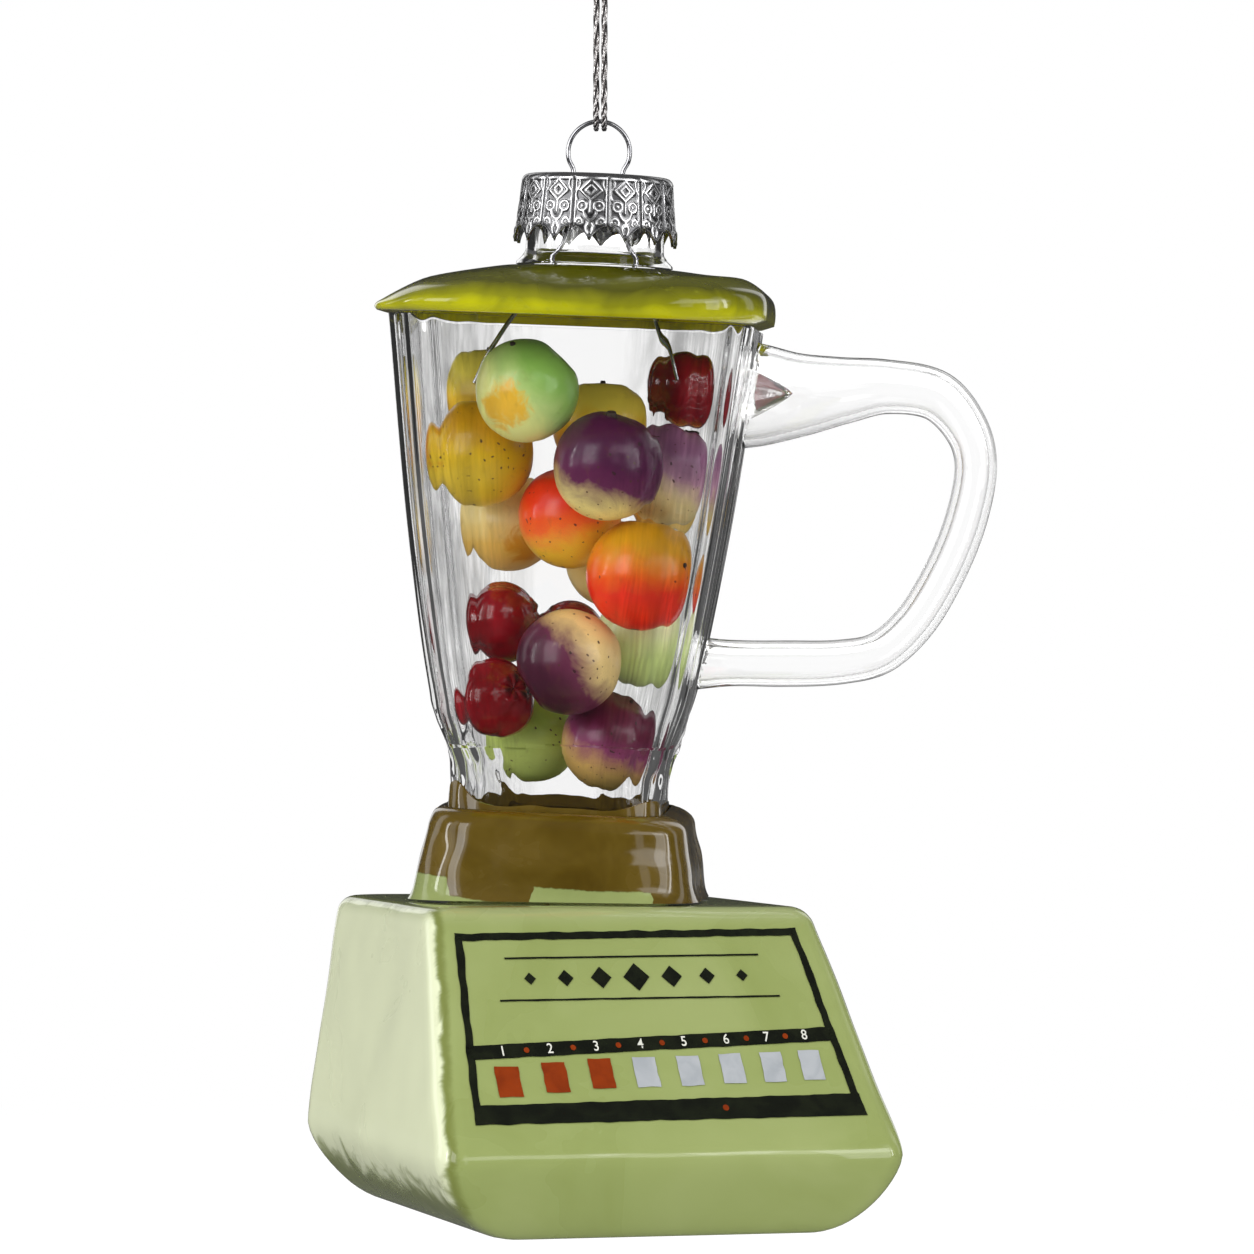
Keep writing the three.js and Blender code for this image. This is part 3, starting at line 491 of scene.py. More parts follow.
def silverThread():
    n = newMaterial("silverThread")
    fleck = n.noise(n.rest(), 3200, 2, 0.6)
    plyShade = n.add("Attribute", attribute_name="relief")["Fac"]
    light = n.blend(n.range(fleck, 0.38, 0.62), (118, 112, 110), (236, 233, 232))
    # painted shade: the grooves between the plies are coloured near black, the crests silver
    values = {"Base Color": n.blend(n.range(plyShade, 0.15, 0.7), (34, 30, 30), light), "Metallic": 0.75}
    values["Roughness"] = n.range(fleck, 0.3, 0.7, 0.42, 0.2)
    return finish(n, n.shader(values, fleck, 0.3, 0.00005))


def strandPath(sign):
    c = cordSizes
    side, bight, drop, eye = sign * c["apart"] / 2, c["bight"], hang["cordDrop"], c["eyeHeight"]
    half = [(0.55, 0.55), (1.15, -0.7), (c["eyeHalf"], -eye * 0.45), (bight + 0.15, -eye)]
    half += [(bight, z) for z in (-eye * 1.6, -drop * 0.5, -drop * 0.72, -drop * 0.9, -drop + 0.2)]
    half.append((bight * 0.72, -drop - bight * 0.7))
    front = [(side, -y, z) for y, z in half]
    back = [(side, y, z) for y, z in half[::-1]]
    return smoothLine(front + [(side, 0, -drop - bight)] + back, c["steps"])


def cordLobe(share, angle):
    # 1 on the crest of a ply, 0 in the groove between two
    return 0.5 + 0.5 * cos(cordSizes["plies"] * angle - 2 * pi * cordSizes["turns"] * share)


def cordReach(share, angle):
    return cordSizes["radius"] * (1 - cordSizes["depth"] * (1 - cordLobe(share, angle)))


def addStrand(sign, node, thread):
    c = cordSizes
    line = strandPath(sign)
    shape = tube(line, cordReach, c["sides"], side=Vector((1, 0, 0)))
    turns = [turnOf(i, c["sides"]) for i in range(c["sides"])]
    # the marks are low in the grooves between the plies, where the thread gets painted shade
    marks = [cordLobe(k / c["steps"], turn) for k in range(len(line)) for turn in turns]
    strand = addPiece("silver_" + node, shape, thread, "silver_cord", [node], marks=marks, **cordLook)
    path = [toMetres @ p for p in line[:: c["pathEvery"]]]
    length = sum((b - a).length for a, b in zip(path, path[1:]))
    tuple(path[0])
    [tuple(p) for p in path]


def addKnot(thread):
    # an overhand knot, drawn tight, and its short cut ends
    s = knotSizes
    line = []
    for i in range(s["steps"]):
        t = turnOf(i, s["steps"])
        p = polar(1, 2 * t) * (1 + 0.42 * cos(3 * t)) * s["width"]
        p.z = s["foot"] + 0.95 + 0.55 * sin(3 * t) * s["height"]
        line.append(p)
    shapes = [tube(line, s["thread"], s["sides"], closed=True)]
    # the marks twist round the knotted thread and give painted shade between its plies
    marks = [0.5 + 0.5 * cos(i * 1.9 + k * 0.7) for k in range(s["steps"]) for i in range(s["sides"])]
    for sign in (-1, 1):
        tail = [(sign * 0.2, 0, 2.2), (sign * 0.3, 0.1, 3.4), (sign * 0.42, -0.1, 5.4)]
        shapes.append(tube(smoothLine(tail, s["tailSteps"]), s["tail"], s["sides"]))
    knot = joined(shapes)
    addPiece("silver_cord_knot", knot, thread, "silver_cord", ["cord_knot"], marks=marks, **cordLook)


def addCords():
    thread = silverThread()
    for sign, node in ((-1, "cord_left"), (1, "cord_right")):
        addStrand(sign, node, thread)
    addKnot(thread)


addCords()
print("cords laid")


# wire hanger
neckSizes = {"radius": 8.3, "wall": 1.0, "foot": 112.6, "top": 122.7, "footRadius": 9.4, "footHeight": 0.9}
neckSizes["steps"] = 96
wireSizes = {"radius": 0.28, "ring": 3.7, "centre": 126.25, "slot": 3.0, "capUnder": 123.0, "tail": 0.5}
wireSizes.update({"ringSteps": 120, "ringSides": 14, "legSteps": 60, "legSides": 12})
legEnds = {-1: (14.2, 98.1), 1: (10.6, 99.4)}


def brightWire():
    n = newMaterial("brightWire")
    drawn = n.noise(n.rest(), 900)
    values = {"Base Color": n.blend(n.range(drawn, 0.35, 0.65), (176, 176, 180), (214, 214, 217))}
    values.update({"Metallic": 1.0, "Roughness": n.range(drawn, 0.2, 0.8, 0.08, 0.18)})
    return finish(n, n.shader(values, drawn, 0.1, 0.00002))


def addWire():
    w = wireSizes
    steel = brightWire()
    look = {"place": neckFrame, "body": "hanger", "sharp": 50}
    slot, low, foot = w["slot"], w["capUnder"] - w["tail"], neckSizes["foot"]
    half = 180 - degrees(asin(slot / w["ring"]))
    points = [(-slot, 0, low)]
    for k in range(-6, 7):
        t = radians(90 - half * k / 6)
        points.append((w["ring"] * cos(t), 0, w["centre"] + w["ring"] * sin(t)))
    points.append((slot, 0, low))
    shape = tube(smoothLine(points, w["ringSteps"]), w["radius"], w["ringSides"])
    addPiece("bright_ring", shape, steel, "bright_wire", ["wire_ring"], **look)
    start = low - 0.3
    for sign, node in ((-1, "wire_leg_left"), (1, "wire_leg_right")):
        reach, end = legEnds[sign]
        line = [(slot, start), (slot + 0.1, mix(start, foot, 0.35)), (slot + 1.7, foot + 0.4)]
        line += [(mix(slot, reach, 0.66), mix(foot, end, 0.52)), (reach, end)]
        line = smoothLine([(sign * x, 0, z) for x, z in line], w["legSteps"])
        shape = tube(line, w["radius"], w["legSides"])
        leg = addPiece("bright_" + node, shape, steel, "bright_wire", [node], **look)
        across = (neckFrame.to_3x3() @ Vector((1, 0, 0))).normalized()
        anchor = neckFrame @ Vector((0, 0, foot))
        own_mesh(leg)


addWire()
print("wire bent")


# crown cap: stamped from thin sheet, 14 panels between creases
capSizes = {"inside": 8.6, "wall": 0.35, "top": 123.35, "height": 8.2, "flare": 0.75, "round": 0.7}
capSizes.update({"points": 14, "pointDepth": 1.9, "crown": 0.14, "relief": 0.2, "dropSides": 12})
capSizes.update({"panelHalf": 2.1, "panelHeight": 7.2, "panelSteps": 40, "rows": 60})


def capRelief(s, t):
    # raised stamping on one panel, in millimetres: x from its middle, y down from its top
    x, y = abs(s) * capSizes["panelHalf"], t * capSizes["panelHeight"]

    def circle(across, down, radius, width=0.15):
        return bell(hypot(x - across, y - down) - radius, width)

    parts = [
        bell((x / 1.3 + abs(y - 1.45) / 1.2 - 1) * 0.88, 0.15),  # diamond, and the one inside it
        bell((x / 0.62 + abs(y - 1.45) / 0.6 - 1) * 0.43, 0.12),
        circle(0.98, 3.35, 0.56),
        circle(0.98, 3.35, 0, 0.22),
        circle(0.1, 4.0, 0.66, 0.13) * smooth(y, 3.5, 4.0),  # scroll
        bell(x, 0.13) * (1 if 2.6 < y < 4.2 else 0),  # its stem
        circle(1.25, 5.05, 0.42, 0.13),
        circle(1.25, 5.05, 0, 0.16),
        bell(hypot(x, (y - 5.6) * 0.6) - 0.38, 0.14),  # drop
        bell(x - 1.62 + 0.25 * sin(y * 2.4), 0.13) * smooth(3.0 - y, 0, 0.6),  # leaf
        bell(x - 1.88, 0.13),  # border, hem and top band
        bell((t - 0.955) * 6, 0.2),
        bell(y - 0.05, 0.2),
    ]
    return max(parts) - 0.9 * bell(x - capSizes["panelHalf"], 0.16)


def capHem(share):
    depth = capSizes["pointDepth"]
    return capSizes["top"] - capSizes["height"] + depth * abs(cos(share * pi)) ** 0.8


def stampedSilver():
    n = newMaterial("stampedSilver")
    raised = n.add("Attribute", attribute_name="relief")["Fac"]
    worn = n.noise(n.placeIn(neckFrame), 1.6, 4, 0.6)
    tones = [(0.0, (96, 96, 98)), (0.16, (156, 156, 158)), (0.42, (36, 36, 36)), (0.62, (226, 226, 228))]
    shade = n.blend(n.range(worn, 0.5, 0.8, 0, 0.3), n.ramp(raised, tones), (150, 152, 146))
    values = {"Base Color": shade, "Metallic": 0.92, "Roughness": n.range(worn, 0.3, 0.7, 0.14, 0.26)}
    return finish(n, n.shader(values, worn, 0.12, 0.00006))


def capLevel(marks, reach, height, crowned=0.0, t=None, inner=False):
    # one ring of the cap, with its stamping where t says how far down the wall it is
    c = capSizes
    one = []
    for i in range(c["points"] * c["panelSteps"]):
        share = (i % c["panelSteps"]) / c["panelSteps"]
        bump = crowned * c["crown"] * sin(share * pi)
        relief = 0.5
        if t is not None:
            relief = capRelief(share * 2 - 1, t)
            bump += c["relief"] * (relief - 0.5) * 0.5 * (0.7 if inner else 1)
        marks.append(relief)
        z = height(share) if callable(height) else height
        one.append(polar(reach + bump, turnOf(i, c["points"] * c["panelSteps"]), z))
    return one


def capSide(t):
    # the wall leans out towards the hem, whose points hang lower than the creases
    c = capSizes
    low = mix(c["top"] - c["round"], c["top"] - c["height"] + c["pointDepth"] + 0.6, min(t / 0.7, 1))
    fade = smooth(t, 0.55, 1)
    return lambda share: mix(low, capHem(share), fade) if t > 0.55 else low


def capRings(marks):
    c = capSizes
    edge, under = c["inside"] + c["wall"], c["top"] - c["wall"]
    rings = []
    for r in (0.05, 2.2, 4.5, 6.5, edge - c["round"] - 0.15):
        rings.append(capLevel(marks, r, c["top"] + 0.03 * sin(r * 1.4)))
    for k in range(1, 6):
        t = pi * 0.5 * k / 6
        reach = edge - c["round"] * (1 - sin(t))
        rings.append(capLevel(marks, reach, c["top"] - c["round"] * (1 - cos(t)), k / 6))
    outside, inside = range(c["rows"] + 1), range(c["rows"], -1, -4)
    for start, rows, inner in ((edge, outside, False), (edge - c["wall"], inside, True)):
        for k in rows:
            t = k / c["rows"]
            rings.append(capLevel(marks, start + c["flare"] * t**1.2, capSide(t), 1, t, inner))
    return rings + [capLevel(marks, edge - c["wall"] - 0.4, under), capLevel(marks, 0.05, under)]


def capDrops():
    # a drop of metal hangs from each point
    c = capSizes
    profile = [(0.04, 0.1), (0.2, 0.25), (0.3, 0.55), (0.26, 0.8), (0.1, 0.98), (0.02, 1.02)]
    reach = c["inside"] + c["wall"] + c["flare"] - c["wall"] * 0.5 + c["crown"]
    drops = []
    for k in range(c["points"]):
        foot = polar(reach, turnOf(k + 0.5, c["points"]), c["top"] - c["height"])
        drops.append(loft([[foot + p for p in one] for one in turnedProfile(profile, c["dropSides"])]))
    return joined(drops)


def addCap():
    marks = []
    shape = loft(capRings(marks))
    silver = stampedSilver()
    look = {"place": neckFrame, "body": "hanger"}
    addPiece("stamped_cap", shape, silver, "silver_cap", ["crown_cap"], sharp=180, marks=marks, **look)
    addPiece("cap_drops", capDrops(), silver, "silver_cap", **look)


addCap()
print("cap stamped")


# neck
def addNeck():
    s = neckSizes
    radius, inside, top, foot = s["radius"], s["radius"] - s["wall"], s["top"], s["foot"]
    heights = [mix(foot + s["footHeight"] * 1.8, top - 0.3, k / 12) for k in range(13)]
    profile = [(inside, foot), (s["footRadius"], foot), (s["footRadius"] - 0.05, foot + 0.3)]
    profile += [(radius + 0.45, foot + s["footHeight"])] + [(radius, z) for z in heights]
    profile += [(radius - 0.25, top), (inside + 0.2, top), (inside, top - 0.3)]
    profile += [(inside, z) for z in heights[::-1]]

    def waver(p, angle):
        away = 0.16 * wave(p, (2.6, 2.6, 12), 4) + 0.05 * sin(angle * 9 + p.z * 0.1)
        limit = smooth(p.z, foot + 0.4, foot + 3) * (1 - smooth(p.z, top - 3, top - 0.5))
        return p + Vector((p.x, p.y, 0)).normalized() * away * limit

    glass = clearGlass("neckGlass", neckFrame, wallOutlineShade, ior=1.25, scale=0.5, covers=True)
    shape = loft(turnedProfile(profile, s["steps"], waver), closed=True)
    addPiece("clear_neck", shape, glass, "clear_glass", ["neck"], neckFrame, sharp=50)


addNeck()
print("neck drawn")


# sections shared by the base, collar, jug and lid
def sectionAngles(steps):
    # evenly round, a little closer together at the corners
    return [turnOf(i, steps) - 0.07 * sin(8 * pi * i / steps - pi) for i in range(steps)]


def fromCorner(angle):
    return abs(angle % (pi / 2) - pi / 4)


def squareReach(angle, corner):
    fromSide = pi / 4 - fromCorner(angle)
    middle = 1 - corner
    if tan(fromSide) <= middle:
        return 1 / cos(fromSide)
    s = cos(fromSide) + sin(fromSide)
    return middle * s + sqrt(corner**2 + middle**2 * (s * s - 2))


def levelRing(angles, z, left, right, front, back, corner, backCorner=None, x=0.0, grow=None):
    one = []
    for angle in angles:
        rounding = backCorner if backCorner is not None and sin(angle) > 0 else corner
        reach = squareReach(angle, rounding) + (grow(angle) if grow else 0)
        across, along = cos(angle) * reach, sin(angle) * reach
        across *= right if across > 0 else left
        one.append(Vector((x + across, along * (back if along > 0 else front), z)))
    return one


def evenRing(angles, z, half, corner, grow=None):
    return levelRing(angles, z, half, half, half, half, corner, grow=grow)


def outwards(p, amount):
    # moves a point away from the vertical axis
    flat = Vector((p.x, p.y, 0))
    return p + flat.normalized() * amount if flat.length > 1e-6 else p


# jug
jugSizes = {"foot": 45.2, "rim": 105.7, "wall": 1.1, "floor": 1.3, "corner": 0.36, "ribs": 4}
jugSizes.update({"ribDepth": 0.17, "waist": 60.8, "steps": 320, "rows": 96, "inset": 0.08})
jugSizes["footGlass"] = 55.0  # below here the glass is thick and folded
jugProfile = [(12.4, jugSizes["foot"]), (12.8, 52.6), (15.1, jugSizes["waist"])]
jugProfile += [(18.3, 80), (21.4, jugSizes["rim"])]
jugLine = smoothLine([(x, 0, z) for x, z in jugProfile], 120)
dimple = {"z": 98.0, "radius": 3.6, "reach": 5.3, "rings": 18, "steps": 64}
# single long ridges: the angle, the width in degrees, the ends of its height, and how far it stands out
drawLines = [(-97, 1.1, 84, 103, 0.1), (-62, 1.4, 62, 104, 0.16), (-120, 1.2, 60, 100, 0.12)]
drawLines += [(92, 1.2, 66, 100, 0.1), (-12, 1.2, 60, 92, 0.12), (14, 1.0, 70, 101, 0.1)]
drawLines += [(168, 1.2, 62, 98, 0.12), (196, 1.0, 74, 103, 0.1)]


def jugHalf(z):
    for a, b in zip(jugLine, jugLine[1:]):
        if b.z >= z:
            return mix(a.x, b.x, clamp((z - a.z) / (b.z - a.z)))
    return jugLine[-1].x


def ribs(z, depth):
    strength = depth * smooth(z, jugSizes["foot"], jugSizes["waist"]) / jugHalf(z)

    def grow(angle):
        fade = 1 - smooth(fromCorner(angle), radians(14), radians(24))
        return strength * fade * cos(fromCorner(angle) * jugSizes["ribs"] * 10)

    return grow


def jugTurn(p):
    return degrees(atan2(p.y, p.x))


def nearCorner(p, low, high):
    # 0 in the middle of a side, 1 by its corners
    return smooth(45 - abs(jugTurn(p) % 90 - 45), low, high)


def jugFolds(p):
    # creases pressed into the soft glass where the jug was pinched in above its foot
    slant = sin(radians(jugTurn(p) * 9) + (p.z - 50) * 0.55 + 1.6 * wave(p, 8, 7))
    sharp = slant if slant < 0 else slant**3
    return 0.34 * bell(p.z - 54.5, 5.2) * sharp * mix(0.12, 1, nearCorner(p, 8, 26))


def jugStreaks(p, seed):
    # the streaks fan out with the walls
    spread = 18 / jugHalf(p.z)
    q = Vector((p.x * spread, p.y * spread, p.z))
    streak = 0.08 * wave(q, (1.7, 1.7, 60), seed) + 0.09 * wave(q, (4, 4, 60), seed + 3)
    return streak * mix(0.1, 1, nearCorner(p, 14, 34))


def jugLines(p):
    total = 0
    for angle, width, low, high, height in drawLines:
        off = (jugTurn(p) - angle + 180) % 360 - 180
        if abs(off) < width * 3:
            total += height * bell(off, width) * smooth(p.z, low, low + 8) * (1 - smooth(p.z, high - 8, high))
    return total


def jugSkin(p):
    foot, rim = jugSizes["foot"], jugSizes["rim"]
    hold = smooth(p.z, foot, foot + 4) * (1 - smooth(p.z, rim - 1.5, rim))
    return hold * (jugFolds(p) + jugStreaks(p, 2) + jugLines(p))


def pulledPoint():
    # the pulled point of glass where the handle was opened, folded along four edges
    d, wall = dimple, jugSizes["wall"]
    rings = []
    for k in range(d["rings"] + 1):
        t = k / d["rings"]
        r = d["radius"] * (1 - t) ** 0.8
        x = jugHalf(d["z"]) - wall * 0.45 + (d["reach"] + wall * 0.4) * t
        one = []
        for i in range(d["steps"]):
            a = turnOf(i, d["steps"])
            reach = max(r, 0.02) * (1 - 0.13 * smooth(r, 0.1, 1.8) * (0.5 + 0.5 * cos(4 * a + 0.6)) ** 2)
            one.append(Vector((x, reach * cos(a), d["z"] + reach * sin(a) + 0.35 * t)))
        rings.append(one)
    return loft(rings)


def addJug():
    j = jugSizes
    angles = sectionAngles(j["steps"])

    def level(z, thinner, share):
        # the inside follows the outside, so that the wall bends what is seen through it only a little
        skin = [share * jugSkin(p) for p in evenRing(angles, z, jugHalf(z), j["corner"])]
        one = evenRing(angles, z, jugHalf(z) - thinner, j["corner"], ribs(z, j["ribDepth"] * share))
        return [outwards(p, amount - j["inset"]) for p, amount in zip(one, skin)]

    shares = [k / j["rows"] for k in range(j["rows"] + 1)]
    rings = [level(mix(j["foot"], j["rim"], share), 0, 1) for share in shares]
    rings += [level(mix(j["foot"] + j["floor"], j["rim"], share), j["wall"], 0.93) for share in shares[::-1]]
    look = {"scale": 0.42, "covers": True}
    wall = clearGlass("jugGlass", uprightFrame, wallOutlineShade, 1.1, strength=0.02, slow=0, streakShade=0.45, **look)
    foot = clearGlass("jugFootGlass", uprightFrame, wallOutlineShade, 1.42, streakShade=0.3, **look)
    jug = addPiece("clear_jug", loft(rings), wall, "clear_glass", ["jug_shell"])
    jug.data.materials.append(foot)
    footTop = (uprightFrame @ Vector((0, 0, j["footGlass"]))).z
    for face in jug.data.polygons:
        face.material_index = 1 if face.center.z < footTop else 0
    glass = clearGlass("pointGlass", uprightFrame, wallOutlineShade, scale=0.5, stretch=1)
    addPiece("pulled_point", pulledPoint(), glass, "clear_glass")


addJug()
print("jug blown")


# handle: hollow, wide at its upper end
handleSizes = {"reach": 48, "upper": 98, "lower": 65.9, "wall": 0.9, "grip": 2.55}
handleSizes.update({"seat": 0.32, "steps": 150, "sides": 40})


def addHandle():
    h = handleSizes
    grip, steps = h["grip"], h["steps"]
    wallUp, wallLow = jugHalf(h["upper"]), jugHalf(h["lower"])
    # the middle of the glass: the share of the reach, the share of the height, and the radius
    middle = [(0.07, 0, 6.1), (0.22, -0.006, 5.1), (0.4, -0.028, 4.1), (0.6, -0.05, 3.3)]
    middle += [(0.82, -0.022, 3.05), (0.956, 0.1, 2.7)]
    middle += [(1, 0.224, grip), (0.967, 0.436, grip), (0.869, 0.664, grip)]
    middle += [(0.752, 0.835, grip), (0.613, 0.944, grip + 0.05), (0.453, 0.981, 2.7), (0.197, 0.997, 2.8)]
    stations = [(wallUp - 1.2, 0, 6.6)] + [(mix(wallUp, h["reach"], x), z, r) for x, z, r in middle]
    stations += [(mix(wallLow, h["reach"], 0.112), 1.003, 2.8), (wallLow - 1.2, 1.009, 3.3)]
    line = smoothLine([(x, 0, mix(h["upper"], h["lower"], z)) for x, z, r in stations], steps)
    girth = [p.x for p in smoothLine([(r, i, 0) for i, (x, z, r) in enumerate(stations)], steps)]
    outer, inner = [], []
    for reach, (p, across, over) in zip(girth, frameAlong(line, Vector((0, 1, 0)))):
        for rings, thinner in ((outer, 0), (inner, h["wall"])):
            one = []
            for i in range(h["sides"]):
                a = turnOf(i, h["sides"])
                way = across * cos(a) + over * sin(a)
                spot = p + way * (reach - thinner + 0.05 * wave(p + way * 4, 8, 11) - 0.03)
                # the ends are cut to the jug's own side
                one.append(Vector((max(spot.x, jugHalf(spot.z) + h["seat"]), spot.y, spot.z)))
            rings.append(one)
    glass = clearGlass("handleGlass", uprightFrame, tubeOutlineShade, 1.33, scale=0.2, stretch=1, strength=0.02)
    addPiece("clear_handle", loft(outer + inner[::-1], closed=True), glass, "clear_glass", ["handle"])


addHandle()
print("handle drawn")


# lid
lidSizes = {"wall": 1.2, "crown": 112.3, "edge": 106.9, "left": 23.4, "right": 22.9, "front": 22.8}
lidSizes.update({"under": 106.0, "sag": 0.8, "underHalf": 22, "seat": 20.2, "rise": 1.2, "crownRadius": 10.6})
lidSizes.update({"corner": 0.5, "hole": 7.8, "powers": (2.3, 1.5, 1.8), "steps": 144})


def oliveLacquer():
    n, where, coat = newLacquer("oliveLacquer", uprightFrame, 0.09)
    height = n.parts(where)[2] + (coat["Uneven"] - 0.5) * 5
    # painted light, in part: the lower edge is coloured bright yellow-green and the middle dark olive; the
    # bright edge is partly the lacquer's tone and partly lifts the shade that falls under the rim
    tones = [(0.0, (206, 204, 10)), (0.22, (140, 140, 4)), (0.6, (80, 80, 0)), (1.0, (100, 101, 3))]
    shade = n.ramp(n.range(height, 105.8, 112.6), tones)
    shade = n.blend(coat["Thin"] * 0.3, shade, (158, 162, 40))
    rough = n.range(coat["Uneven"], 0.3, 0.7, 0.2, 0.34)
    return finishLacquer(n, shade, rough, 0.03, coat["Height"], 0.35, 0.0006)


def addLid():
    s = lidSizes
    angles = sectionAngles(s["steps"])
    under, edge, crown, half, seat = (s[k] for k in ("under", "edge", "crown", "underHalf", "seat"))

    def level(z, left, right, front, corner=s["corner"], x=0.0):
        return {"z": z, "left": left, "right": right, "front": front, "back": front, "corner": corner, "x": x}

    def dome(t):
        z = mix(edge, crown, sin(t * pi * 0.5) ** 0.92)
        sides = zip((s["left"], s["right"], s["front"]), s["powers"])
        reach = [mix(s["crownRadius"], side, cos(t * pi * 0.5) ** power) for side, power in sides]
        return level(z, *reach, mix(s["corner"], 1, t * t), hang["neckShift"] * t)

    def shrink(t, by, drop=1.0):
        one = dome(t)
        sides = {k: one[k] - by * s["wall"] for k in ("left", "right", "front", "back")}
        return {**one, **sides, "z": one["z"] - drop * s["wall"]}

    def lifted(one, sagging):
        share = smooth(one["z"], edge - 0.7, edge + 1.5)
        fade = 1 - smooth(one["z"], crown - 2.2, crown)
        points = levelRing(angles, **one)
        for p in points:
            p.z += s["rise"] * share * fade * smooth(p.x, 0, s["right"])
            if sagging:
                upper = mix(0.5, 1, smooth(one["z"], edge, edge + 1.5))
                p.z -= s["sag"] * upper * smooth(-p.x, s["left"] - 6.7, s["left"] - 1.1)
            p.z += 0.16 * share * fade * wave(p, 9, 21)
        return points

    outer = [level(under, half - 0.5, half - 1.1, half - 0.5), level(under + 0.06, half, half - 0.6, half)]
    outer.append(level(under + 0.5, s["left"] - 0.3, s["right"] - 0.1, s["front"] - 0.2))
    outer += [dome(k / 26) for k in range(27)]
    inner = [level(crown - drop, *[s["hole"]] * 3, 1, hang["neckShift"]) for drop in (0, s["wall"])]
    inner += [shrink(0.9, 0.3), shrink(0.75, 0.6), shrink(0.62, 0.9)]
    inner += [shrink(0.45, 1.2, 0.95), shrink(0.3, 1.5, 0.9)]
    inner += [level(edge + 0.3, seat, seat, seat), level(under, seat, seat, seat)]
    rings = [lifted(one, 1 < k < len(outer)) for k, one in enumerate(outer + inner)]
    addPiece("olive_lid", loft(rings, closed=True), oliveLacquer(), "olive_glass", ["lid_shell"])


addLid()
print("lid lacquered")


# collar
collarSizes = {"foot": 36.8, "top": 47.8, "footHalf": 16.8, "topHalf": 15.5, "flare": 0.6, "shoulder": 2.5}
collarSizes.update({"corner": 0.42, "bore": 13.0, "sideways": 0.4, "slantHeight": 6.7})
collarSizes.update({"brownFrom": 35.6, "brownRun": 6.0, "steps": 136})


def brownLacquer():
    n, where, coat = newLacquer("brownLacquer", uprightFrame, 0.13)
    x, z = n.parts(where)[::2]
    # the brown stops short of the base in places, and runs down between them
    stops = [(0.0, 0.75), (0.204, 0.72), (0.216, 0.36), (0.45, 0.22), (0.466, 0.6), (0.81, 0.58)]
    stops += [(0.826, 0.04), (1.0, 0.12)]
    across = (x + 20) / 40 + n.uneven(where, 0.8, 3, 0.6, 0.02)
    low = z - collarSizes["brownFrom"] + n.uneven(where, 0.5, 4, 0.6, 0.8)
    brown = n.range(low - n.ramp(across, stops) * collarSizes["brownRun"], -0.1, 0.12)
    shade = n.ramp(coat["Uneven"], [(0.25, (82, 63, 7)), (0.5, (98, 78, 16)), (0.8, (116, 94, 32))])
    green = n.blend(coat["Uneven"], (140, 152, 90), (166, 178, 112))
    rough = n.range(coat["Uneven"], 0.3, 0.7, 0.2, 0.3)
    height = coat["Height"] + brown * 0.25
    return finishLacquer(n, n.blend(brown, green, shade), rough, 0.02, height, 0.4, 0.0006)


def baseSlope(p):
    return p.x * tan(radians(stand["leanRight"])) - p.y * tan(radians(stand["leanFront"]))


def collarRings(angles):
    c = collarSizes
    sideTop = c["top"] - c["shoulder"]
    rings = []
    for k in range(25):
        share = k / 24
        flare = c["flare"] * exp(-7 * share) + 0.22 * bell(share - 0.55, 0.3)
        half = mix(c["footHalf"], c["topHalf"], share) + flare
        rings.append(evenRing(angles, mix(c["foot"], sideTop, share), half, c["corner"]))
    for k in range(1, 9):
        t = pi * 0.5 * k / 8
        half = c["topHalf"] - c["shoulder"] * (1 - cos(t))
        rings.append(evenRing(angles, sideTop + c["shoulder"] * sin(t), half, c["corner"]))
    for half, z in ((c["bore"] + 0.25, c["top"]), (c["bore"], c["top"] - 0.25), (c["bore"], c["foot"])):
        rings.append(evenRing(angles, z, half, jugSizes["corner"]))
    for one in rings:
        for i, p in enumerate(one):
            p.z += baseSlope(p) * (1 - clamp((p.z - c["foot"]) / c["slantHeight"]))
            p.x += c["sideways"] * (1 - smooth(p.z, sideTop + 1, c["top"]))
            soft = 0.3 * wave(p, (4, 4, 12), 31) + 0.14 * wave(p, 3, 33)
            hold = smooth(p.z, c["foot"], c["foot"] + 2) * (1 - 0.5 * smooth(p.z, sideTop, c["top"]))
            one[i] = outwards(p, soft * hold - 0.1)
    return rings


def collarEdge(angles):
    # lacquer that climbed the glass above the collar, highest on the left front rib
    top = collarSizes["top"]
    rings = []
    for k in range(9):
        one = []
        for angle in angles:
            rim = 0.55 + 0.5 * noise.noise(polar(3, angle, 2))
            for height, peak, width in ((2.6, 222, 0.16), (1.1, 316, 0.2)):
                rim += height * bell(angle % (2 * pi) - radians(peak), width)
            share = min(k / 6, 1)
            z = mix(top - 0.9, top + max(rim, 0.12), share)
            reach = squareReach(angle, jugSizes["corner"]) + ribs(z, jugSizes["ribDepth"])(angle)
            thick = (0.42 - 0.27 * share) if k <= 6 else (0.0 if k == 7 else -0.12)
            p = polar(reach * jugHalf(z), angle, z)
            one.append(outwards(p, thick + jugSkin(p) - jugSizes["inset"]))
        rings.append(one)
    rings.append([outwards(p, -0.5) for p in rings[0]])
    return rings


def addCollar():
    angles = sectionAngles(collarSizes["steps"])
    brown = brownLacquer()
    addPiece("brown_collar", loft(collarRings(angles), closed=True), brown, "brown_glass", ["collar"])
    addPiece("brown_collar_edge", loft(collarEdge(angles), ends=False), brown, "brown_glass")


addCollar()
print("collar lacquered")


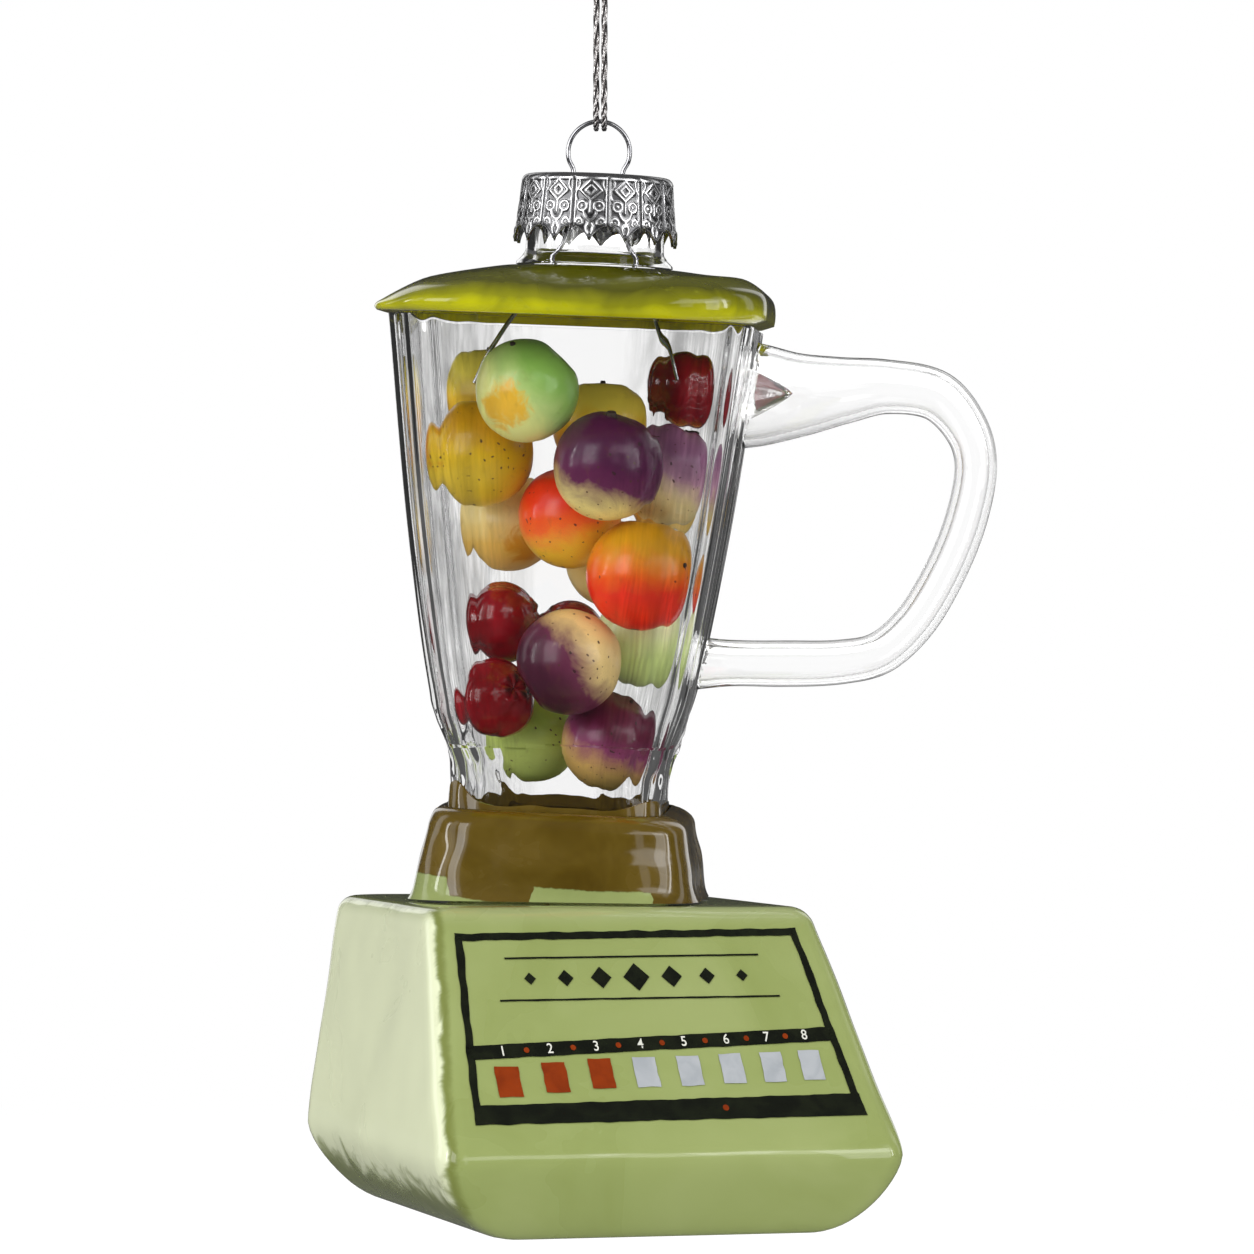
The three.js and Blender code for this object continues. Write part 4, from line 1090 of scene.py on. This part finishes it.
# base
baseSizes = {"height": 36.5, "wide": 9.1, "wideHalf": 27.8, "wideFront": 44.2, "wideBack": 17.4}
baseSizes.update({"sideways": 0.6, "topSideways": 0.3, "topHalf": 23.5, "topFront": 23.8, "topBack": 18.8})
baseSizes.update({"footFront": 4.8, "footSides": 9.5, "frontCorner": 0.08, "backCorner": 0.27})
baseSizes.update({"topRound": 1.8, "bumperHeight": 4.4, "bumperOut": 1.0, "waver": 0.2, "softStart": 0.045})
baseSizes["steps"] = 176


def baseLevel(z, turnIn=0.0, rounding=0.0):
    b = baseSizes
    up = clamp((z - b["wide"]) / (b["height"] - b["wide"]))
    up = (up - b["softStart"] * (1 - exp(-up / b["softStart"]))) / (1 - b["softStart"])
    swell = b["bumperOut"] * bell(z - b["wide"], b["bumperHeight"])
    inset = b["footSides"] * turnIn**0.75 + rounding
    half = mix(b["wideHalf"], b["topHalf"], up) - inset
    front = mix(b["wideFront"] - b["bumperOut"], b["topFront"], up) + swell
    level = {"z": z, "left": half, "right": half, "front": front - b["footFront"] * turnIn - rounding}
    level.update({"back": mix(b["wideBack"], b["topBack"], up) - inset, "corner": b["frontCorner"]})
    return {**level, "backCorner": b["backCorner"], "x": mix(b["sideways"], b["topSideways"], up)}


def baseWaver(p):
    # the blown walls are never quite flat
    return baseSizes["waver"] * (wave(p, 14, 41) + 0.45 * wave(p, 6, 43)) - 0.12


def paleGreenLacquer():
    n, where, coat = newLacquer("paleGreenLacquer", baseFrame, 0.06)
    x, z = n.parts(where)[::2]
    shade = n.ramp(coat["Uneven"], [(0.3, (147, 160, 92)), (0.55, (154, 167, 100)), (0.8, (162, 174, 110))])
    # the left side is coloured paler than the front, partly because it was sprayed thinner and partly as
    # painted light from the left, and the coats meet in a ragged run along the edge
    footInset = n.most(baseSizes["wide"] - z, 0) ** 1.5 * 0.22
    side = x - z * 0.146 + n.uneven(where, 0.22, 4, 0.6, 1.4, 0.8) - footInset
    # painted light, in part: the left face is coloured near white-green
    shade = n.blend(n.range(side, -28.1, -27.5, 1, 0), shade, (238, 244, 206))
    shade = n.blend(n.range(z, 34.2, 36.2) * 0.5, shade, (176, 186, 136))
    run = n.range(side, -28.2, -27.6) * n.range(side, -27.5, -26.6, 1, 0)
    shade = n.blend(run * 0.9, shade, (122, 132, 64))
    rough = n.range(coat["Uneven"], 0.3, 0.7, 0.24, 0.34)
    return finishLacquer(n, shade, rough, 0.035, coat["Height"] + run * 0.3, 0.3, 0.0009)


def addBase():
    b = baseSizes
    height, rounded = b["height"], b["topRound"]
    angles = sectionAngles(b["steps"])
    levels = []
    for k in range(15):
        t = pi * 0.5 * k / 14
        levels.append(baseLevel(b["wide"] * (1 - cos(t)), 1 - sin(t)))
    levels += [baseLevel(mix(b["wide"], height - rounded, k / 34)) for k in range(1, 34)]
    for k in range(9):
        t = pi * 0.5 * k / 8
        levels.append(baseLevel(height - rounded * (1 - sin(t)), 0, rounded * (1 - cos(t))))
    rings = []
    for one in levels:
        hold = smooth(one["z"], 0, 3) * (1 - 0.7 * smooth(one["z"], height - 1.2, height))
        last = levelRing(angles, **one)
        rings.append([outwards(p, baseWaver(p) * hold) for p in last])
    for share in (0.8, 0.6, 0.4, 0.2):
        rings.append([Vector((p.x * share, p.y * share, height)) for p in last])
    green = paleGreenLacquer()
    addPiece("pale_green_base", loft(rings), green, "pale_green_glass", ["base_shell"], baseFrame)


addBase()
print("base lacquered")


# printed panel: every mark lies on the base's own slanted face
panel = {"lift": 0.09, "topLeft": (-20.9, 33.6), "topRight": (21.0, 34.1), "buttonSize": (2.85, 3.2)}
panel.update({"bottomLeft": (-22.9, 13.1), "bottomRight": (24.1, 13.5), "line": 0.9, "orangeButtons": 3})
panel.update({"bandTop": (21.4, 23.1), "bandHeight": 1.5, "lowBandTop": (15.1, 15.85), "digits": 1.5})
panel.update({"bandLeft": -21.6, "bandLength": 44.7})
panel["buttonRow"] = [(-17.9, 17.6), (-12.25, 18.0), (-6.7, 18.3), (-1.3, 18.4)]
panel["buttonRow"] += [(4.0, 18.5), (9.15, 18.7), (14.15, 18.8), (18.9, 18.95)]


def onPanel(x, z, lift=panel["lift"]):
    # the point of the front face at that place, and a little proud of it
    bare = Vector((x, -baseLevel(z)["front"], z))
    return outwards(bare, baseWaver(bare)) + Vector((0, -1, 0.62)).normalized() * lift


def bandMiddle(x):
    return mix(*panel["bandTop"], (x - panel["bandLeft"]) / panel["bandLength"]) - panel["bandHeight"] * 0.5


def patch(corners, columns, rows, waver, seed):
    # a quad of (x, z) corners laid on the face as a fine grid, its edges a little uneven
    (ax, az), (bx, bz), (cx, cz), (dx, dz) = corners  # low left, low right, high right, high left
    points, faces = [], []
    for r in range(rows + 1):
        v = r / rows
        for c in range(columns + 1):
            u = c / columns
            x = mix(mix(ax, bx, u), mix(dx, cx, u), v)
            z = mix(mix(az, bz, u), mix(dz, cz, u), v)
            x += waver * noise.noise(Vector((seed + v * 3, z * 0.6, u * 2)))
            z += waver * noise.noise(Vector((x * 0.5, seed + v * 2, 5)))
            points.append(onPanel(x, z))
    for r in range(rows):
        for c in range(columns):
            i = r * (columns + 1) + c
            faces.append((i, i + 1, i + columns + 2, i + columns + 1))
    return points, faces


def spot(x, z, outline, points=20):
    # outline is how far the edge is across and up from the middle at an angle
    places = [(0, 0)] + [outline(turnOf(i, points)) for i in range(points)]
    faces = [(0, 1 + i, 1 + (i + 1) % points) for i in range(points)]
    return [onPanel(x + across, z + over) for across, over in places], faces


def lozenge(size):
    def outline(a):
        side = abs(cos(a)) / size + abs(sin(a)) / (size * 0.95)
        return cos(a) / side, sin(a) / side

    return outline


def disc(radius):
    return lambda a: (radius * cos(a), radius * 0.9 * sin(a))


def printInk(name, colour, second):
    n, coat = newLacquer(name, baseFrame, 0.35)[::2]
    shade = n.blend(n.range(coat["Uneven"], 0.35, 0.7), colour, second)
    return finishLacquer(n, shade, 0.18, 0.035, coat["Height"], 0.15, 0.0003)


def digitShapes():
    # the numbers 1 to 8 above the printed buttons
    shapes = []
    for i, (x, _) in enumerate(panel["buttonRow"]):
        words = bpy.data.curves.new("digit", "FONT")
        words.body = str(i + 1)
        words.size = panel["digits"]
        words.align_x = "CENTER"
        words.align_y = "CENTER"
        words.offset = 0.012
        holder = bpy.data.objects.new("digit", words)
        bpy.context.collection.objects.link(holder)
        bpy.context.view_layer.update()
        flat = bpy.data.meshes.new_from_object(holder.evaluated_get(bpy.context.evaluated_depsgraph_get()))
        places = [v.co for v in flat.vertices]
        points = [onPanel(x + p.x, bandMiddle(x) + p.y, panel["lift"] + 0.05) for p in places]
        shapes.append((points, [tuple(face.vertices) for face in flat.polygons]))
        bpy.data.objects.remove(holder)
        bpy.data.curves.remove(words)
        bpy.data.meshes.remove(flat)
    return shapes


def blackMarks():
    p = panel
    tl, tr, bl, br, line = p["topLeft"], p["topRight"], p["bottomLeft"], p["bottomRight"], p["line"]
    (bandLeft, bandRight), (lowLeft, lowRight) = p["bandTop"], p["lowBandTop"]
    band = p["bandHeight"]

    def edgeX(z, side):
        a, b = (tl, bl) if side < 0 else (tr, br)
        return mix(a[0], b[0], (a[1] - z) / (a[1] - b[1]))

    marks = [patch([(tl[0], tl[1] - 0.8), (tr[0], tr[1] - 0.8), tr, tl], 60, 2, 0.16, 1)]
    marks.append(patch([bl, (bl[0] + line, bl[1]), (tl[0] + line, tl[1]), tl], 2, 40, 0.16, 2))
    marks.append(patch([(br[0] - line, br[1]), br, tr, (tr[0] - line, tr[1])], 2, 40, 0.16, 3))
    high = [(edgeX(20, -1), bandLeft - band), (edgeX(21.6, 1), bandRight - band)]
    marks.append(patch([*high, (edgeX(23.1, 1), bandRight), (edgeX(21.4, -1), bandLeft)], 60, 3, 0.1, 4))
    marks.append(patch([bl, br, (edgeX(15.8, 1), lowRight), (edgeX(15.1, -1), lowLeft)], 60, 3, 0.14, 5))
    # a plain row of lozenges between two thin rules
    for z, reach in ((30.9, 15.5), (26.3, 17.0)):
        rule = [(-reach, z - 0.14), (reach, z + 0.16), (reach, z + 0.36), (-reach, z + 0.06)]
        marks.append(patch(rule, 50, 1, 0.04, z))
    for k, size in enumerate((0.7, 0.95, 1.25, 1.6, 1.25, 0.95, 0.7), -3):
        marks.append(spot(k * 4.3, 28.75 + k * 0.04, lozenge(size), 24))
    return marks


def addPanel():
    black = printInk("blackInk", (12, 16, 6), (24, 29, 14))
    orange = printInk("orangeInk", (146, 54, 2), (128, 44, 0))
    lilac = printInk("lilacInk", (182, 186, 190), (168, 173, 178))
    white = printInk("whiteInk", (236, 236, 226), (220, 222, 210))
    row, first = panel["buttonRow"], panel["orangeButtons"]
    pads = []
    for i, (x, z) in enumerate(row):
        w, h = panel["buttonSize"][0] * (1 - 0.012 * i) / 2, panel["buttonSize"][1] / 2
        corners = [(x - w, z - h), (x + w, z - h), (x + w, z + h), (x - w, z + h)]
        pads.append(patch(corners, 10, 10, 0.12, i * 1.7))
    between = [(a[0] + b[0]) / 2 for a, b in zip(row, row[1:])]
    dots = [spot(x, bandMiddle(x), disc(0.33)) for x in between] + [spot(7.2, 14.5, disc(0.36))]
    proud = [([q + Vector((0, -0.04, 0.03)) for q in points], faces) for points, faces in dots]
    pieces = {"panel_black": (blackMarks(), black), "panel_orange": (pads[:first] + proud, orange)}
    pieces.update({"panel_lilac": (pads[first:], lilac), "panel_numbers": (digitShapes(), white)})
    for name, (shapes, ink) in pieces.items():
        addPiece(name, joined(shapes), ink, "pale_green_glass", place=baseFrame, sharp=180)


addPanel()
print("panel printed")


# fruits: tones are (top, middle, bottom), the way is where top points, up unless it is given; the tones are
# partly each fruit's own colours and partly painted light, the lower ones raised against the shade beneath
fruitLooks = {
    "apple_green_top": {
        "r": 6.3, "tones": ((138, 186, 84), (180, 208, 122), (226, 228, 142)), "way": (0.7, 0, 0.7),
        "blotch": (236, 178, 20), "blotchAt": (-0.35, -0.85, -0.35), "stem": (-0.25, -0.45, 0.85),
    },
    "lemon_back_left": {"r": 6.0, "tones": ((244, 226, 92), (240, 208, 60), (226, 164, 30))},
    "lemon_back_middle": {"r": 6.0, "tones": ((240, 214, 76), (236, 190, 40), (224, 170, 30))},
    "berry_top_right": {"r": 4.9, "way": (-0.6, -0.3, -0.5)},
    "quince_left": {
        "r": 6.6, "tones": ((206, 150, 10), (222, 178, 14), (220, 186, 44)), "way": (0.2, 0, 1),
        "specks": 0.4, "blotch": (212, 134, 10), "blotchAt": (-0.9, -0.2, 0.1),
    },
    "peach_middle": {
        "r": 6.3, "tones": ((232, 50, 14), (244, 104, 28), (240, 190, 50)), "way": (-0.2, -0.2, 0.8),
        "specks": 0.3,
    },
    "plum_front_upper": {
        "r": 6.6, "tones": ((74, 14, 58), (96, 30, 72), (236, 216, 134)), "way": (0.25, -0.1, 0.75),
        "shift": 0.3, "specks": 0.4, "stem": (0.05, -0.35, 0.95), "crust": 0.8,
    },
    "plum_right": {
        "r": 6.2, "tones": ((140, 88, 124), (180, 134, 158), (236, 220, 160)), "way": (0.4, 0, 0.8),
        "specks": 0.4,
    },
    "pear_cream_left": {
        "r": 6.1, "tones": ((244, 222, 146), (242, 218, 144), (228, 182, 82)),
        "blotch": (208, 140, 18), "blotchAt": (0.45, -0.7, -0.45),
    },
    "pear_cream_middle": {
        "r": 5.6, "tones": ((240, 200, 108), (246, 214, 128), (246, 220, 140)), "stem": (-0.1, -0.8, 0.4),
    },
    "apricot_back_right": {"r": 5.5, "tones": ((240, 192, 84), (236, 182, 72), (240, 204, 116))},
    "orange_front": {
        "r": 6.8, "tones": ((214, 152, 10), (238, 120, 20), (244, 44, 8)), "way": (0.1, 0.1, 1),
        "specks": 0.1, "stem": (0.75, -0.6, 0.2),
    },
    "berry_left_upper": {"r": 5.0, "way": (0.95, -0.1, 0.3)},
    "berry_middle": {"r": 4.9, "way": (-0.5, -0.5, 0.6)},
    "berry_left_lower": {"r": 4.9, "way": (0.62, -0.68, 0.39)},
    "plum_front_lower": {
        "r": 6.4, "tones": ((68, 12, 40), (100, 38, 66), (230, 200, 132)), "way": (-0.6, -0.1, -0.45),
        "specks": 0.5,
    },
    "apple_pale_right": {"r": 5.9, "tones": ((236, 246, 190), (226, 242, 170), (206, 226, 140))},
    "plum_bottom_right": {
        "r": 6.0, "tones": ((92, 16, 48), (136, 56, 98), (222, 180, 102)), "way": (0.35, -0.2, 0.8),
        "specks": 0.4,
    },
    "apple_green_bottom": {
        "r": 5.7, "tones": ((150, 178, 66), (190, 212, 100), (208, 226, 122)), "specks": 0.2,
    },
}
fruitSizes = {"rows": 30, "steps": 44, "blotch": 0.5, "stem": 0.42}


def fruitPaint(name, look, centre, way):
    n = newMaterial(name + "_paint")
    berry = name.startswith("berry")
    scale = perMetre / look["r"]
    values = {"Vector": n.rest(), "Location": centre * -scale, "Scale": [scale] * 3}
    local = n.add("Mapping", values, vector_type="POINT")[0]  # the fruit's own unit ball
    cloud = n.noise(local, 1.3, 4, 0.6, 0.5)
    lean = n.vector("DOT_PRODUCT", local, way)["Value"]
    height = n.range(lean + (cloud - 0.5) * 0.8 + look.get("shift", 0), -1, 1)
    if berry:
        shade = n.ramp(height, [(0.1, (116, 2, 10)), (0.5, (152, 6, 24)), (0.86, (128, 3, 14))])
        shade = n.blend(n.range(lean, 0.84, 0.92), shade, (40, 20, 12))
        rough = n.range(lean, 0.8, 0.92, 0.2, 0.6)
    else:
        top, middle, bottom = look["tones"]
        # painted light, in part: the fruit shades from its top tone to its bottom tone, the lower tones
        # lifted against the shade beneath
        shade = n.ramp(height, [(0.17, bottom), (0.52, middle), (0.84, top)])
        rough = n.range(cloud, 0.3, 0.7, 0.3, 0.42)
    if "blotch" in look:
        away = n.vector("DISTANCE", local, Vector(look["blotchAt"]).normalized())["Value"]
        torn = away + n.uneven(local, 2.4, 5, 0.7, 1.1, 1.0)
        size = fruitSizes["blotch"]
        shade = n.blend(n.range(torn, size * 0.45, size * 1.15, 0.9, 0), shade, look["blotch"])
    tired = n.range(n.noise(local, 3.2, 5, 0.7, 0.3), 0.56, 0.74, 0, 0.22)
    shade = n.blend(tired, shade, (40, 0, 4) if berry else (104, 70, 30))
    if "specks" in look:
        for scale, size, share, tone in ((4.2, 0.17, 1, (46, 26, 20)), (9.0, 0.19, 0.7, (74, 42, 34))):
            given = {"Place": local, "Scale": scale, "Size": size, "Share": look["specks"] * share}
            shade = n.blend(n.group(speckles, given)["Mask"], shade, tone)
    values = {"Base Color": shade, "Roughness": rough, "Coat Weight": 0.7 if berry else 0.4}
    values.update({"Coat Roughness": 0.1 if berry else 0.16, "Specular IOR Level": 0.25})
    return finish(n, n.shader(values, n.noise(local, 9, 4, 0.6), 0.12, 0.0002))


def stemBark(name):
    n = newMaterial(name + "_stem")
    rough = n.noise(n.rest(), 3000, 3, 0.6)
    values = {"Base Color": n.blend(rough, (28, 18, 12), (66, 44, 28)), "Roughness": 0.7}
    return finish(n, n.shader(values, rough, 0.4, 0.0001))


def fruitSkin(unit, a, t, berry, seed):
    # how far the skin is from the middle, as a share of the radius
    r = 1 + 0.025 * wave(unit, 0.9, seed) + 0.006 * wave(unit, 0.25, seed)
    if not berry:
        return r - 0.07 * smooth(unit.z, 0.88, 1.0) - 0.02  # with the dip round the stem
    r *= 0.84 + 0.17 * abs(cos(1.5 * a + seed)) ** 0.45 * sin(t) ** 1.2
    crown = smooth(unit.z, 0.86, 0.94) * (0.6 + 0.4 * cos(6 * a)) - smooth(unit.z, 0.96, 1)
    return r + 0.08 * crown


def addFruit(name, look):
    low, high = (Vector(corner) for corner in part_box(name))
    centre = (low + high) / 2
    tilt = uprightFrame.to_3x3()
    way = (tilt @ Vector(look.get("way", (0, 0, 1)))).normalized()
    berry = name.startswith("berry")
    turn = Vector((0, 0, 1)).rotation_difference(way)
    seed = sum(map(ord, name)) % 97
    rings = []
    for k in range(1, fruitSizes["rows"]):
        t = pi * k / fruitSizes["rows"]
        one = []
        for i in range(fruitSizes["steps"]):
            a = turnOf(i, fruitSizes["steps"])
            unit = polar(sin(t), a, -cos(t))
            one.append(turn @ (unit * fruitSkin(unit, a, t, berry, seed) * look["r"]) + centre * perMetre)
        rings.append(one)
    shapes = [loft(rings)]
    if not berry:
        bare = "stem" not in look
        axis = way if bare else (tilt @ Vector(look["stem"]).normalized()).normalized()
        foot = centre * perMetre + axis * look["r"] * (0.87 if bare else 0.93)
        stub = [foot, foot + axis * 0.3, foot + axis * (0.5 if bare else 0.62)]
        sideways = axis.cross(Vector((0.3, 0.8, 0.1))).normalized()
        thick = look.get("crust", fruitSizes["stem"])
        shapes.append(tube(stub, lambda share, angle: thick * (1 - 0.33 * share), 8, sideways))
    paint = fruitPaint(name, look, centre, way)
    slotName = next(s["material_slot"] for s in frame["record"]["subparts"] if s["node"] == name)
    fruit = addPiece("painted_" + name, joined(shapes), paint, slotName, [name], toMetres)
    if not berry:
        fruit.data.materials.append(stemBark(name))
        for face in fruit.data.polygons[len(shapes[0][1]) :]:
            face.material_index = 1


for name, look in fruitLooks.items():
    addFruit(name, look)
print("fruits painted")


# floor, world and lamps
studio = {"floor": -0.18, "floorColour": 0.8, "diffuse": 0.85, "floorMirrored": 0.1, "floorHalf": 8.0}
studio["floorFade"] = (0.22, 0.5)  # where the lit floor gives way to plain white, in metres
studio.update({"tubes": (-18, -170), "tubeStrength": 8, "frontStrength": 2.2, "flag": 0.45})
lamps = [
    {"name": "leftBox", "place": (-0.42, -0.52, 0.16), "size": (0.34, 0.5), "power": 1.7, "mirrored": True},
    {"name": "rightBox", "place": (0.55, -0.4, 0.02), "size": (0.2, 0.5), "power": 0.8, "mirrored": True},
    {"name": "topBox", "place": (0.05, -0.1, 0.6), "size": (0.5, 0.4), "power": 0.6, "mirrored": False},
    {"name": "backBox", "place": (0.1, 0.7, 0.25), "size": (0.5, 0.5), "power": 1.0, "mirrored": False},
]
lampAim = Vector((0.0, 0.0, -0.1))


def addFloor():
    half, own = studio["floorHalf"], studio["floorColour"]
    mesh = bpy.data.meshes.new("paleFloor")
    corners = [(-half, -half), (half, -half), (half, half), (-half, half)]
    mesh.from_pydata([(x, y, studio["floor"]) for x, y in corners], [], [(0, 1, 2, 3)])
    floor = bpy.data.objects.new("paleFloor", mesh)
    bpy.context.collection.objects.link(floor)
    n = newMaterial("paleFloor")
    level = n.vector("MULTIPLY", n.rest(), (1, 1, 0))[0]
    share = n.range(n.vector("LENGTH", level, (0, 0, 0))["Value"], *studio["floorFade"])
    rays = n.add("LightPath")
    seen = n.most(rays["Is Camera Ray"], rays["Is Transmission Ray"])
    matt = n.add("BsdfDiffuse", {"Color": (own, own, own, 1)})[0]
    near = n.add("AddShader", {0: matt, 1: n.emission(seen * (1 - own))})[0]
    # a look through glass counts as glossy too, and isn't mirrored
    mirrored = rays["Is Glossy Ray"] - rays["Is Transmission Ray"]
    both = n.mixed(mirrored, n.mixed(share, near, n.emission(seen)), n.emission(studio["floorMirrored"]))
    mesh.materials.append(finish(n, both))


def addWorld():
    # white to the camera; metal and lacquer see bright strips in a dimmer room, and glass sees dim flags
    world = bpy.data.worlds.new("studio")
    bpy.context.scene.world = world
    world.use_nodes = True
    n = Nodes(world.node_tree)
    x, y, z = n.parts(n.add("TexCoord")["Generated"])
    away = abs(n.math("FRACT", n.math("ARCTAN2", y, x) / (pi / 4) + 4) - 0.5)
    strip = n.range(away, 0.13, 0.2, 1, 0) * n.range(z, 0.62, 0.78, 1, 0)
    glossy = n.most(strip, n.range(z, 0.3, 0.9, 0.03, 0.1))
    front = n.range(x * 0.67 - y * 0.74, 0.7, 0.78) * n.range(z, 0.3, 0.38) * n.range(z, 0.56, 0.62, 1, 0)
    glossy = n.most(glossy, front * studio["frontStrength"])
    for turn in studio["tubes"]:
        # the flat direction of each tube light, and how far a look is from it
        east, north = cos(radians(turn)), sin(radians(turn))
        across = n.range(abs(x * north - y * east), 0.03, 0.06, 1, 0)
        tubeLight = across * n.range(x * east + y * north, 0.5, 0.6) * n.range(z, 0.4, 0.6, 1, 0)
        glossy = n.most(glossy, tubeLight * studio["tubeStrength"])
    flag = n.range(away, 0.09, 0.13, 1, 0) * studio["flag"]
    through = 1 - n.most(flag, n.range(z, 0.75, 0.95, 0, 0.2))
    rays = n.add("LightPath")
    strength = n.most(rays["Is Camera Ray"], rays["Is Transmission Ray"] * through)
    strength = n.most(strength, rays["Is Glossy Ray"] * glossy)
    strength = n.most(strength, rays["Is Diffuse Ray"] * studio["diffuse"])
    n.add("OutputWorld", {0: n.add("Background", {"Color": (1, 1, 1, 1), "Strength": strength})[0]})


def addLamps():
    for lamp in lamps:
        data = bpy.data.lights.new(lamp["name"], "AREA")
        data.shape = "RECTANGLE"
        data.size, data.size_y = lamp["size"]
        data.energy = lamp["power"]
        holder = bpy.data.objects.new(lamp["name"], data)
        holder.visible_glossy = lamp["mirrored"]
        holder.location = lamp["place"]
        toAim = lampAim - Vector(lamp["place"])
        holder.rotation_euler = toAim.to_track_quat("-Z", "Y").to_euler()
        bpy.context.collection.objects.link(holder)


addFloor()
addWorld()
addLamps()
bpy.context.scene.view_settings.view_transform = "Standard"
print("studio lit")
